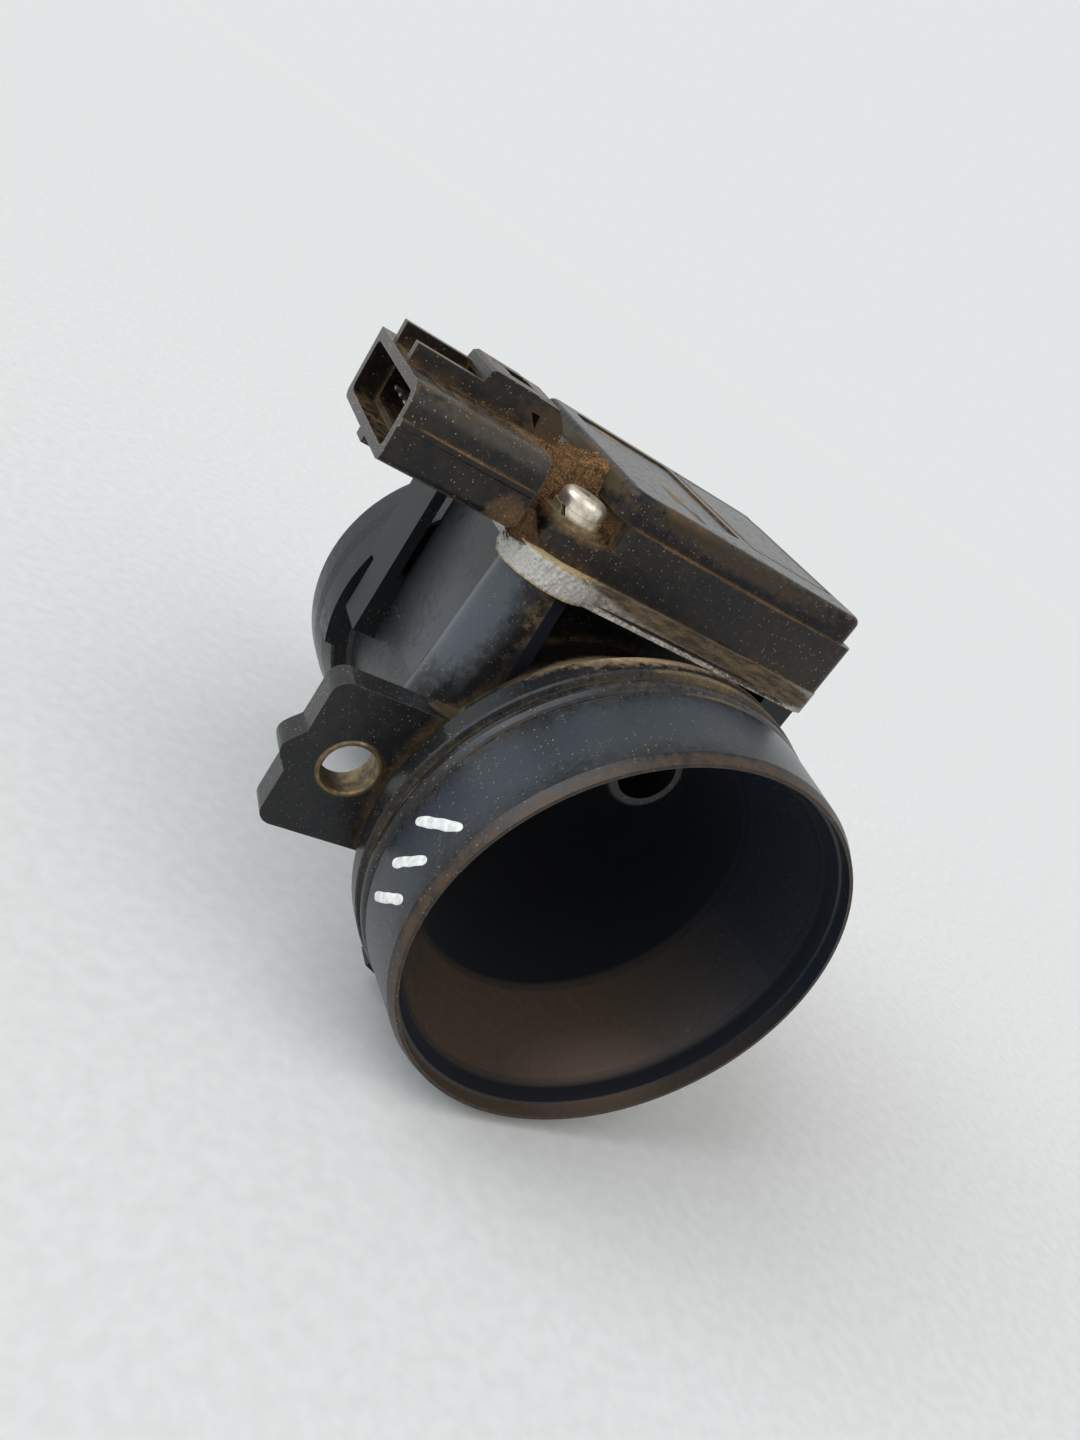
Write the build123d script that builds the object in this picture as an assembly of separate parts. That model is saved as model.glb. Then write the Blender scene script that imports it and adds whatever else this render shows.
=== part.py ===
from build123d import *
import math
import os

os.makedirs("parts", exist_ok=True)

# Mass airflow sensor.  Millimetres, +Z up from the tube to the module.
# Origin: centre of the inlet rim.  The tube runs along +Y, the plug faces -X.

OVER = 1.0  # how far a cut runs past the face it opens
EDGE = 0.8  # small moulded edge radius

# ---- flow tube, inlet end: radii grow from the inner radius of the rim ----
RIM_IN_R = 38.5
RIM_LAND = 0.65
CHAMFER_R, CHAMFER_Y = RIM_IN_R + 1.5, 2.0
COLLAR_R, COLLAR_Y = RIM_IN_R + 2.4, 16.4
GROOVE, GROOVE_W = 0.7, 0.6
BEAD_R, BEAD_Y0, BEAD_Y1 = RIM_IN_R + 2.85, 17.2, 20.9
BEAD_DROP = 0.75
RING_R, RING_Y0, RING_Y1 = 41.8, 21.6, 26.3
RIM_LIP_Y, RIM_STEP = 2.7, 0.8

# ---- flow tube, barrel and outlet end: radii grow from the barrel ----
BARREL_R, BARREL_WALL = 31.0, 2.6
BORE_R = BARREL_R - BARREL_WALL
THROAT_R, THROAT_Y = BARREL_R + 0.2, 25.0
BORE_Y0 = 45.0
BARREL_Y0 = 50.0
TUBE_L, REAR_L = 120.0, 20.0
REAR_Y0 = TUBE_L - REAR_L
REAR_R = BARREL_R + 6.45
REAR_R0 = BARREL_R + 4.4
REAR_LAND = 8.0
REAR_IN_R = REAR_R - 2.85
REAR_IN_L, REAR_FLARE_L = 7.0, 12.0

# ---- mounting ears ----
EAR_Y0, EAR_T = 28.0, 5.5
EAR_Y1 = EAR_Y0 + EAR_T
BOLT_X = RING_R + 5.9
EAR_OUT = 9.5
EAR_X, EAR_HALF_H = BOLT_X + EAR_OUT, 14.4
EAR_ROOT_X = BARREL_R - 3.0
EAR_CORNER = 2.8
NUB_UP, NUB_HALF_W, NUB_ROUND = 2.4, 4.0, 0.6
WEB_HALF_H, WEB_X, WEB_T = 3.0, 40.0, 3.0
BUSH_OD, BUSH_ID, BUSH_L = 11.0, 9.0, 6.0
BUSH_EDGE = 0.3
PRESS_GAP = 0.04
TAB_OUT, TAB_IN, TAB_W, TAB_T, TAB_TURN = 2.2, 4.8, 8.4, 4.5, -62.0

# ---- module stack, heights ----
SEAL_T = 0.6
PLATE_Z0 = BARREL_R + 8.3
PLATE_T = 4.6
PLATE_Z1 = PLATE_Z0 + PLATE_T
PLINTH_Z = PLATE_Z0 - SEAL_T
LOBE_Z = PLATE_Z1 + 5.1
STEP_Z = PLATE_Z1 + 10.3
LID_T = 5.4
LID_Z = STEP_Z + LID_T

# ---- module stack, plan ----
BODY_X, BODY_Y0, BODY_Y1 = 30.0, 36.0, 87.6
MID_Y = 0.5 * (BODY_Y0 + BODY_Y1)
BODY_CORNER = 2.2
PLATE_X0, PLATE_X1 = -BODY_X - 6.0, BODY_X - 0.4
PLATE_Y0, PLATE_Y1 = BODY_Y0 - 1.1, BODY_Y1 + 1.1
PLATE_CORNER = 3.0
SCREW_X, SCREW_Y = 31.7, 41.6
LOBE_R, PLATE_LOBE_R = 6.9, 8.8
LOBE_X, LOBE_Y = -SCREW_X + 0.8, BODY_Y0 + LOBE_R
NOTCH_X0, NOTCH_X1, NOTCH_Y1 = -41.5, -25.0, 48.6
NOTCH_CORNER, NOTCH_EDGE = 2.4, 2.4

# ---- lid ----
HEAD_R, HEAD_SIDE, HEAD_DOME, HEAD_ROOM = 4.15, 1.4, 1.6, 0.4
LID_X0, LID_X1, LID_IN = -SCREW_X + HEAD_R + HEAD_ROOM, BODY_X - 1.0, 0.8
LID_JOINT = 0.3
LID_CORNER, LID_EDGE = 3.0, 1.4
FRAME = (4.4, 26.4, 46.2, 83.6)
FRAME_W, FRAME_DEEP = 0.8, 0.5
PAD, PAD_DEEP, PAD_CORNER = (-22.0, 2.4, 47.0, 82.8), 0.4, 2.0
LID_SKIN = 2.5

# ---- screws and washers ----
SHANK_R, SHANK_Z0 = 2.4, PLATE_Z0 - 13.8
STAR_OUT_R, STAR_IN_R, STAR_DEEP = 2.0, 1.55, 1.7
FLAT_OD, FLAT_T = 10.8, 1.0
SPRING_OD, SPRING_T = 8.8, 1.3
WASHER_ID = 5.3
SPLIT_W, SPLIT_TURN = 0.9, -148.0
HOLE_R = 2.7
THREAD_GAP = 0.05
POST_SUNK = 22.0
POST_R, POST_TAPER, POST_Z0 = 6.9, 0.05, BARREL_R - POST_SUNK
TAP_Z = SHANK_Z0 - 1.5

# ---- plug shroud ----
PLUG_X0 = -65.8
PLUG_Y0, PLUG_Y1 = 37.7, 68.8
PLUG_Z0, PLUG_H = PLATE_Z1 + 0.1, 12.7
PLUG_Z1 = PLUG_Z0 + PLUG_H
PLUG_MID_Y = 0.5 * (PLUG_Y0 + PLUG_Y1)
PLUG_WALL = 1.8
PLUG_ROUND, PLUG_CORNER = 3.8, 1.6
MOUTH_DEEP, LEDGE_IN, LEDGE_TOP = 4.2, 1.0, 0.8
SOCKET_DEEP = 16.0
SOCKET_X1 = PLUG_X0 + SOCKET_DEEP
SIDE_RIB_Z, SIDE_RIB_T, SIDE_RIB_OUT = PLUG_Z0 + 6.1, 1.3, 0.9
KEEL_Y, KEEL_W, KEEL_DOWN, KEEL_L = 51.5, 4.0, 1.8, 12.0
RAIL_X0, RAIL_X1 = PLUG_X0 + 0.8, -44.0
RAIL_Y0, RAIL_Y1, RAIL_W = 50.6, 60.8, 1.8
RAIL_UP = 3.1
LATCH_X0, LATCH_X1, LATCH_UP = -53.2, -40.5, 5.6
WINDOW_W, WINDOW_L = 4.6, 4.8

# ---- plug pins ----
PIN_N, PIN_PITCH = 6, 3.7
PIN_IN_PITCH, PIN_IN_Y0 = 2.45, 50.2
PIN_Z = PLUG_Z0 + 6.2
PIN_W, PIN_T = 1.5, 0.64
PIN_TIP_X, PIN_TAIL_X = PLUG_X0 + 4.8, -19.0
PIN_JOG_X, PIN_JOG_STEP, PIN_JOG_LAST = NOTCH_X0 - 1.5, 1.4, SOCKET_X1 + 1.4
PIN_GAP = 0.03
PIN_POINT = 0.2

# ---- plinth, bar and lug ----
PLINTH_X = BODY_X + 1.5
PLINTH_LEAN = 0.65
PLINTH_FOOT_Z, PLINTH_KNEE_Z, PLINTH_UP_Z = 2.0, 4.0, 12.0
POCKET_SUNK, LEG_SUNK = 11.0, 15.0
POCKET_L, POCKET_YS, POCKET_Z = 10.2, (52.4, 64.1, 75.8), BARREL_R - POCKET_SUNK
POCKET_XS = ((-28.9, -20.4), (-18.9, -10.6), (10.6, 21.4))
REAR_POCKETS = ((-8.2, -0.8), (0.8, 8.2))
LEG_X0, LEG_X1, LEG_Y0, LEG_Y1, LEG_Z0 = 23.4, 31.3, 40.0, 50.2, BARREL_R - LEG_SUNK
BAR_X0, BAR_T, BAR_Y0, BAR_Y1 = -35.8, 2.5, REAR_Y0 - 13.0, REAR_Y0 - 2.6
BAR_Z0, BAR_Z1 = -2.2, PLATE_Z0 - 5.3
BAR_FOOT_Z = 10.8
LUG_R, LUG_Z0 = REAR_R - 0.4, -13.0

# ---- bypass passage ----
BYP_Z, BYP_OR, BYP_IR = BORE_R - 8.4, 7.5, 5.5
BYP_Y0, BYP_Y1, BYP_END = 26.0, 79.0, 3.0
BYP_WEB_W = 7.2
BYP_SLOT_W, BYP_SLOT_L, BYP_SLOT_Y1 = 8.0, 6.0, BYP_Y1 - 4.0

# ---- probe ----
PROBE_Y = 61.0
PROBE_R, PROBE_GAP = 6.0, 0.2
BOSS_R, BOSS_Z0 = 9.4, BYP_Z + 4.0
STEM_Z0, STEM_NECK_R, STEM_Z1 = BYP_Z + 5.2, 4.2, PLATE_Z1 + 2.1
FLANGE_R, FLANGE_T = 7.9, 2.15
SEAT_GAP = 0.1
O_RING_R, O_WIRE_R, O_Z = 5.4, 0.8, PLATE_Z0 - 6.1
STEM_PIN_R, STEM_PIN_X, STEM_PIN_YA, STEM_PIN_YB = 0.4, 2.2, -1.3, 1.7
STEM_PIN_Z0, STEM_PIN_Z1 = BYP_Z - 0.8, PLATE_Z1 + 3.5
BEAD_LEAD_R, BEAD_LEAD_X, BEAD_LEAD_Y, BEAD_LEAD_Z1 = 0.25, 1.1, -3.2, PLATE_Z1 + 2.9
ELEMENT_Z, HOT_R, COLD_R, ELEMENT_L, ELEMENT_LEAD_R = BYP_Z + 0.6, 0.35, 0.30, 2.7, 0.12
THERM_R, THERM_Z = 1.1, BYP_Z - 0.6

# ---- circuit ----
TRAY_X, TRAY_Y0, TRAY_Y1, TRAY_CORNER = 22.5, 40.5, 83.2, 2.0
BOARD = (-18.5, 18.5, 42.6, 81.0)
GLUE_T, BOARD_T, GLUE_IN = 0.25, 0.8, 1.0
BOARD_Z0 = PLATE_Z1 + GLUE_T
BOARD_Z1 = BOARD_Z0 + BOARD_T
BOARD_HOLE_R = 5.2
CHIP, CHIP_T = (6.5, 16.0, 67.0, 76.5), 1.7
TAB, TAB_H = (9.0, 16.0, 44.6, 47.0), 0.6
CASE, CASE_T = (9.6, 15.4, 47.0, 51.6), 1.9
CAPS = [(-12.5, 67.5), (-12.5, 72.0), (-7.5, 76.5), (11.0, 57.0), (14.5, 61.5), (-3.0, 46.0)]
CAP_L, CAP_W, CAP_T = 3.2, 2.4, 1.3
TRIM_XS, TRIM_Y, TRIM_L, TRIM_W, TRIM_T = (-7.0, -3.8, -0.6, 2.6, 5.8), 50.9, 2.0, 1.4, 0.5
LINK_X, LINK_T, LINK_W = 6.9, 0.25, 0.5
GEL_GAP, GEL_Z1 = 0.1, PLATE_Z1 + 4.5
BOND_X0, BOND_X1, BOND_T, BOND_W = -20.3, -16.8, 0.8, 0.8


def box(x0, x1, y0, y1, z0, z1):
    w = Box(x1 - x0, y1 - y0, z1 - z0)
    return Pos((x0 + x1) / 2, (y0 + y1) / 2, (z0 + z1) / 2) * w


def cyl_z(x, y, r, z0, z1):
    return Pos(x, y, (z0 + z1) / 2) * Cylinder(r, z1 - z0)


def cyl_y(x, z, r, y0, y1):
    return Pos(x, (y0 + y1) / 2, z) * Rot(90, 0, 0) * Cylinder(r, y1 - y0)


def cyl_x(y, z, r, x0, x1):
    return Pos((x0 + x1) / 2, y, z) * Rot(0, 90, 0) * Cylinder(r, x1 - x0)


def slab(pts, z0, z1):
    """Upright prism over a plan outline."""
    face = make_face(Polyline(*[(x, y, z0) for x, y in pts], close=True))
    return extrude(face, amount=z1 - z0, dir=(0, 0, 1))


def wall_y(pts, y0, y1):
    """Prism across the tube, outline given in X and Z."""
    face = make_face(Polyline(*[(x, y0, z) for x, z in pts], close=True))
    return extrude(face, amount=y1 - y0, dir=(0, 1, 0))


def spun(pts):
    """Body of revolution about the tube axis, outline as radius and Y."""
    face = make_face(Polyline(*[(r, y) for r, y in pts], close=True))
    return revolve(face, Axis.Y)


def rounded_plan(x0, x1, y0, y1, z0, z1, r):
    b = box(x0, x1, y0, y1, z0, z1)
    return fillet(b.edges().filter_by(Axis.Z), r)


def half_turn(shape):
    """Second place of a module part, half a turn round the module centre."""
    return Pos(0, 2 * MID_Y, 0) * Rot(0, 0, 180) * shape


def screw_spots():
    return [(-SCREW_X, SCREW_Y), (SCREW_X, 2 * MID_Y - SCREW_Y)]


def inner_outline():
    """Air side of the tube, rim to outlet, as radius and Y."""
    return [
        (RIM_IN_R, RIM_LIP_Y),
        (RIM_IN_R - RIM_STEP, RIM_LIP_Y + 0.3),
        (RIM_IN_R - RIM_STEP - 0.4, RIM_LIP_Y + 0.9),
        (THROAT_R, THROAT_Y),
        (BORE_R, BORE_Y0),
        (BORE_R, TUBE_L - 2 * REAR_FLARE_L),
        (REAR_IN_R - 1.2, TUBE_L - REAR_FLARE_L),
        (REAR_IN_R, TUBE_L - REAR_IN_L),
    ]


def bead_outline():
    """Low crowned bead behind the collar groove."""
    mid = 0.5 * (BEAD_Y0 + BEAD_Y1)
    half = 0.5 * (BEAD_Y1 - BEAD_Y0)
    steps = [-1 + i / 4 for i in range(9)]
    return [(BEAD_R - BEAD_DROP * t * t, mid + half * t) for t in steps]


def neck_outline():
    """Smooth fall from the ring down to the barrel: half a cosine wave."""
    y0, y1 = RING_Y1 + 0.9, BARREL_Y0 + 2.0
    r0 = RING_R - 2.4
    out = []
    for i in range(9):
        t = i / 8
        fall = 0.5 * (1 - math.cos(math.pi * (0.25 + 0.75 * t)))
        start = 0.5 * (1 - math.cos(math.pi * 0.25))
        share = (fall - start) / (1 - start)
        out.append((r0 + (BARREL_R - r0) * share, y0 + (y1 - y0) * t))
    return out


def tube_outline():
    """Skin of the tube from the inlet rim back to the outlet collar."""
    pts = [
        (RIM_IN_R, 0.0),
        (RIM_IN_R + RIM_LAND, 0.0),
        (CHAMFER_R, CHAMFER_Y),
        (COLLAR_R, COLLAR_Y),
        (COLLAR_R - GROOVE, COLLAR_Y + 0.15),
        (COLLAR_R - GROOVE, COLLAR_Y + GROOVE_W),
    ]
    pts += bead_outline()
    pts += [
        (BEAD_R - BEAD_DROP, RING_Y0 - 0.35),
        (RING_R - 0.25, RING_Y0),
        (RING_R, RING_Y0 + 0.4),
        (RING_R, RING_Y1 - 0.6),
        (RING_R - 0.5, RING_Y1),
    ]
    pts += neck_outline()
    pts += [
        (BARREL_R, REAR_Y0 - 1.0),
        (BARREL_R + 1.0, REAR_Y0),
        (REAR_R0 - 0.5, REAR_Y0),
        (REAR_R0, REAR_Y0 + 0.5),
        (0.35 * REAR_R0 + 0.65 * REAR_R, TUBE_L - 0.7 * REAR_L),
        (REAR_R, TUBE_L - REAR_LAND),
        (REAR_R, TUBE_L - 1.4),
        (REAR_R - 0.5, TUBE_L - 0.4),
        (REAR_R - 1.3, TUBE_L),
        (REAR_IN_R, TUBE_L),
    ]
    return pts + inner_outline()[::-1]


def air_space():
    """Everything inside the tube walls, run past both ends."""
    mouth = [(0, -OVER), (RIM_IN_R, -OVER)]
    outlet = [(REAR_IN_R, TUBE_L + OVER), (0, TUBE_L + OVER)]
    return spun(mouth + inner_outline() + outlet)


def nub_outline():
    """Soft bump on the ear's outer end: a cosine wave with a fuller crown, in X and Z."""
    out = [(-EAR_X + OVER, -NUB_HALF_W), (-EAR_X + OVER, NUB_HALF_W)]
    for i in range(13):
        t = 1 - i / 6
        rise = (0.5 + 0.5 * math.cos(math.pi * t)) ** NUB_ROUND
        out.append((-EAR_X - NUB_UP * rise, NUB_HALF_W * t))
    return out


def ear():
    """One mounting ear, with the soft nub on its outer end."""
    depth = EAR_X - EAR_ROOT_X
    plate = box(-EAR_X, -EAR_X + depth, EAR_Y0, EAR_Y1, -EAR_HALF_H, EAR_HALF_H)
    plate = fillet(plate.edges().filter_by(Axis.Y).group_by(Axis.X)[0], EAR_CORNER)
    nub = wall_y(nub_outline(), EAR_Y0, EAR_Y1)
    h = WEB_HALF_H
    web = wall_y([(-EAR_ROOT_X, -h), (-EAR_ROOT_X, h), (-WEB_X, h - 1), (-WEB_X, 1 - h)],
                 EAR_Y1 - 0.5, EAR_Y1 + WEB_T)
    return plate + nub + web


def ear_hole(sign):
    r = BUSH_OD / 2 + PRESS_GAP
    return cyl_y(sign * BOLT_X, 0.0, r, EAR_Y0 - OVER, EAR_Y1 + OVER)


def location_tab():
    """Small block behind the ring that sets the tube's turn."""
    r0, r1 = RING_R - TAB_IN, RING_R + TAB_OUT
    block = box(-r1, -r0, RING_Y1 + 0.7, RING_Y1 + 0.7 + TAB_T, -TAB_W / 2, TAB_W / 2)
    return Rot(0, TAB_TURN, 0) * block


def post(x, y):
    """Tapered round post that carries a module screw."""
    h = PLATE_Z0 - POST_Z0
    cone = Cone(POST_R + POST_TAPER * h, POST_R, h)
    return Pos(x, y, POST_Z0 + h / 2) * cone


def plinth():
    """Walled box that rises from the barrel to the module."""
    x, lean = PLINTH_X, PLINTH_LEAN
    half = [(x - 4 * lean, PLINTH_FOOT_Z), (x - lean, PLINTH_KNEE_Z), (x, PLINTH_UP_Z), (x, PLINTH_Z)]
    wall = [(-a, z) for a, z in half] + half[::-1]
    return wall_y(wall, BARREL_Y0, BODY_Y1 + 0.4)


def plinth_pockets():
    """Pockets that thin the plinth, open under the module plate."""
    cells = [(x0, x1, y0, y0 + POCKET_L) for x0, x1 in POCKET_XS for y0 in POCKET_YS]
    y0 = PROBE_Y + BOSS_R + 2.0
    cells += [(x0, x1, y0, POCKET_YS[-1] + POCKET_L) for x0, x1 in REAR_POCKETS]
    core = box(*cells[0], POCKET_Z, PLATE_Z0)
    for cell in cells[1:]:
        core = core + box(*cell, POCKET_Z, PLATE_Z0)
    return core - cyl_y(0, 0, BARREL_R, BORE_Y0, REAR_Y0)


def side_bar():
    """Upright bar beside the plinth, tied in at its foot and behind its top."""
    x0, x1 = BAR_X0, BAR_X0 + BAR_T
    bar = box(x0, x1, BAR_Y0, BAR_Y1, BAR_Z0, BAR_Z1)
    foot = box(x0 + 1.0, -BARREL_R + 5.0, BAR_Y0, BAR_Y1, BAR_Z0, BAR_FOOT_Z)
    tie = box(x0, -PLINTH_X + 1.0, BAR_Y1 - 1.0, REAR_Y0 + 2.0, BAR_FOOT_Z - 0.6, BAR_Z1)
    return bar + foot + tie


def rear_lug():
    """Raised part of the outlet collar's front edge, beside the bar."""
    ring = cyl_y(0, 0, LUG_R, REAR_Y0, TUBE_L - REAR_LAND)
    side = box(-LUG_R - OVER, -REAR_R0 + 6.0, REAR_Y0 - OVER, TUBE_L, LUG_Z0, BAR_Z1)
    return ring & side


def bypass_tube():
    """Round bypass passage hung from the roof of the bore."""
    tube = cyl_y(0, BYP_Z, BYP_OR, BYP_Y0, BYP_Y1)
    tube = fillet(tube.edges().group_by(Axis.Y)[0], EDGE)
    web = box(-BYP_WEB_W / 2, BYP_WEB_W / 2, BYP_Y0 + 1.5, BYP_Y1, BYP_Z, BARREL_R)
    return tube + web


def bypass_hollow():
    lane = cyl_y(0, BYP_Z, BYP_IR, BYP_Y0 - OVER, BYP_Y1 - BYP_END)
    w = BYP_SLOT_W / 2
    y0 = BYP_SLOT_Y1 - BYP_SLOT_L
    drop = box(-w, w, y0, BYP_SLOT_Y1, BYP_Z - BYP_OR - OVER, BYP_Z)
    return lane + drop


def flow_tube():
    """One moulding: bell, collar, ears, barrel, posts, plinth and bypass."""
    left = ear()
    leg = box(LEG_X0, LEG_X1, LEG_Y0, LEG_Y1, LEG_Z0, PLATE_Z0)
    boss = cyl_z(0, PROBE_Y, BOSS_R, BOSS_Z0, PLINTH_Z)
    out = plinth() - plinth_pockets() + boss
    for x, y in screw_spots():
        out = out + post(x, y)
    out = out + leg + left + Rot(0, 180, 0) * left + location_tab()
    out = (out + side_bar() + rear_lug()) - air_space()
    body = spun(tube_outline()) + out + bypass_tube() - bypass_hollow()
    body = body - ear_hole(-1) - ear_hole(1)
    body = body - cyl_z(0, PROBE_Y, PROBE_R + PROBE_GAP, BYP_Z, PLATE_Z0 + OVER)
    seat_z = PLATE_Z0 - FLANGE_T - SEAT_GAP / 2
    body = body - cyl_z(0, PROBE_Y, FLANGE_R + SEAT_GAP, seat_z, PLATE_Z0 + OVER)
    for x, y in screw_spots():
        body = body - cyl_z(x, y, SHANK_R + THREAD_GAP, TAP_Z, PLATE_Z0 + OVER)
    return body


def bushes():
    out = []
    for s in (-1, 1):
        y0 = 0.5 * (EAR_Y0 + EAR_Y1) - BUSH_L / 2
        b = cyl_y(s * BOLT_X, 0, BUSH_OD / 2, y0, y0 + BUSH_L)
        b = b - cyl_y(s * BOLT_X, 0, BUSH_ID / 2, y0 - OVER, y0 + BUSH_L + OVER)
        out.append(chamfer(b.edges().filter_by(GeomType.CIRCLE), BUSH_EDGE))
    return Compound(children=out)


def base_gasket():
    x0, x1 = -PLINTH_X + 0.6, LEG_X0 + 0.2
    y0, y1, w = BARREL_Y0 + 0.5, BODY_Y1 + 0.1, 1.7
    outer = box(x0, x1, y0, y1, PLINTH_Z, PLATE_Z0)
    return outer - box(x0 + w, x1 - w, y0 + w, y1 - w, PLINTH_Z - OVER, PLATE_Z0 + OVER)


def plate_lobe():
    return cyl_z(LOBE_X - 0.2, SCREW_Y - 0.4, PLATE_LOBE_R, PLATE_Z0, PLATE_Z1)


def base_plate():
    """Aluminium base plate with a round lobe under each screw."""
    p = rounded_plan(PLATE_X0, PLATE_X1, PLATE_Y0, PLATE_Y1, PLATE_Z0, PLATE_Z1, PLATE_CORNER)
    p = p + plate_lobe() + half_turn(plate_lobe())
    p = p - cyl_z(0, PROBE_Y, STEM_NECK_R + SEAT_GAP, PLATE_Z0 - OVER, PLATE_Z1 + OVER)
    for x, y in screw_spots():
        p = p - cyl_z(x, y, HOLE_R, PLATE_Z0 - OVER, PLATE_Z1 + OVER)
    return p


def lobe():
    """Low round screw lobe that runs flush into the housing's front."""
    disc = cyl_z(LOBE_X, LOBE_Y, LOBE_R, PLATE_Z1, LOBE_Z)
    neck = box(LOBE_X, NOTCH_X1 + 5.0, BODY_Y0, NOTCH_Y1 + 3.0, PLATE_Z1, LOBE_Z)
    return disc + neck


def notch():
    """Round cornered clear space above a screw lobe."""
    room = box(NOTCH_X0, NOTCH_X1, BODY_Y0 - 6.0, NOTCH_Y1, LOBE_Z, LID_Z + 10.0)
    return fillet(room.edges().filter_by(Axis.Z).group_by(Axis.Y)[-1], NOTCH_CORNER)


def notch_edge():
    """Rounds the housing's upright corner where the notch meets its front."""
    r, z0, z1 = NOTCH_EDGE, LOBE_Z, STEP_Z + OVER
    x, y = NOTCH_X1 + r, BODY_Y0 + r
    return box(NOTCH_X1 - OVER, x, BODY_Y0 - OVER, y, z0, z1) - cyl_z(x, y, r, z0, z1)


def corner_relief():
    """Space between the lobe and the end of the plug's front wall."""
    return box(NOTCH_X0, NOTCH_X1, BODY_Y0 - 6.0, LOBE_Y, PLATE_Z1 - OVER, LID_Z)


def latch():
    """Guide rails on the plug and the bridge that the plug's latch snaps under."""
    z0, z1 = PLUG_Z1 - 0.6, PLUG_Z1 + LATCH_UP
    rail_a = box(RAIL_X0, RAIL_X1, RAIL_Y0, RAIL_Y0 + RAIL_W, z0, PLUG_Z1 + RAIL_UP)
    rail_b = box(RAIL_X0, RAIL_X1, RAIL_Y1, RAIL_Y1 + RAIL_W, z0, PLUG_Z1 + RAIL_UP + 0.6)
    side = [(LATCH_X0, z0), (LATCH_X0 + 0.4, z1 - 0.5), (LATCH_X0 + 1.2, z1),
            (LATCH_X1 - 3.4, z1), (LATCH_X1 - 3.0, z1 - 3.0), (LATCH_X1, z0)]
    cheek_a = wall_y(side, RAIL_Y0, RAIL_Y0 + 2.6)
    cheek_b = wall_y(side, RAIL_Y1 - 0.6, RAIL_Y1 + 2.2)
    roof = [(LATCH_X0, z1 - 2.6), (LATCH_X0 + 0.4, z1 - 0.5), (LATCH_X0 + 1.2, z1),
            (LATCH_X1 + 1.0, z1 - 0.2), (LATCH_X1 + 3.5, z1 - 3.0), (LATCH_X1 + 3.5, z0),
            (LATCH_X1 - 1.0, z0), (LATCH_X1 - 1.5, z1 - 2.6)]
    roof = wall_y(roof, RAIL_Y0, RAIL_Y1 + 2.2)
    x0 = LATCH_X0 + 5.4
    y1 = RAIL_Y1 - 0.6
    window = box(x0, x0 + WINDOW_L, y1 - WINDOW_W, y1, z1 - 4.0, z1 + OVER)
    return rail_a + rail_b + cheek_a + cheek_b + roof - window


def shroud():
    """Plug shroud: round shouldered box with side rib, keel and latch."""
    b = box(PLUG_X0, NOTCH_X1 + 3.0, PLUG_Y0, PLUG_Y1, PLUG_Z0, PLUG_Z1)
    b = fillet(b.edges().filter_by(Axis.X).group_by(Axis.Z)[-1].sort_by(Axis.Y)[0], PLUG_ROUND)
    b = fillet(b.edges().filter_by(Axis.X).group_by(Axis.Z)[0], PLUG_CORNER)
    z0 = SIDE_RIB_Z
    rib = box(PLUG_X0, NOTCH_X0 - 0.6, PLUG_Y0 - SIDE_RIB_OUT, PLUG_Y0 + OVER, z0, z0 + SIDE_RIB_T)
    rib = fillet(rib.edges().filter_by(Axis.X).group_by(Axis.Y)[0], 0.35)
    keel = box(PLUG_X0 + EDGE, PLUG_X0 + EDGE + KEEL_L, KEEL_Y, KEEL_Y + KEEL_W,
               PLUG_Z0 - KEEL_DOWN, PLUG_Z0 + OVER)
    return b + rib + keel + latch()


def socket():
    """Socket for the mating plug, with a ledge a little way in."""
    y0, y1 = PLUG_Y0 + PLUG_WALL, PLUG_Y1 - PLUG_WALL
    z0, z1 = PLUG_Z0 + PLUG_WALL, PLUG_Z1 - PLUG_WALL
    a = box(PLUG_X0 - OVER, PLUG_X0 + MOUTH_DEEP, y0, y1, z0, z1)
    a = fillet(a.edges().filter_by(Axis.X), 1.4)
    b = box(PLUG_X0, SOCKET_X1, y0 + LEDGE_IN, y1 - LEDGE_IN, z0 + LEDGE_IN, z1 - LEDGE_TOP)
    return a + fillet(b.edges().filter_by(Axis.X), EDGE)


def pin_y(i):
    return PLUG_MID_Y + (i - (PIN_N - 1) / 2) * PIN_PITCH


def pin_in_y(i):
    return PIN_IN_Y0 + i * PIN_IN_PITCH


def pin_body(i, gap):
    """One flat pin, stepped sideways inside the moulding."""
    ya, yb = pin_y(i), pin_in_y(i)
    w, t = PIN_W / 2 + gap, PIN_T / 2 + gap
    xj = PIN_JOG_X - PIN_JOG_STEP * i if i < 4 else PIN_JOG_LAST
    z0, z1 = PIN_Z - t, PIN_Z + t
    a = box(PIN_TIP_X - gap, xj + 0.5 + gap, ya - w, ya + w, z0, z1)
    b = box(xj - 0.5 - gap, PIN_TAIL_X + gap, yb - w, yb + w, z0, z1)
    c = box(xj - 0.5 - gap, xj + 0.5 + gap, min(ya, yb) - w, max(ya, yb) + w, z0, z1)
    return a + b + c


def lid_room():
    """Space for the lid and all above the housing's rim."""
    return box(LID_X0 - LID_JOINT, BODY_X + 10.0, BODY_Y0 - 6.0, BODY_Y1 + 7.0, STEP_Z, LID_Z + 10.0)


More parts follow.
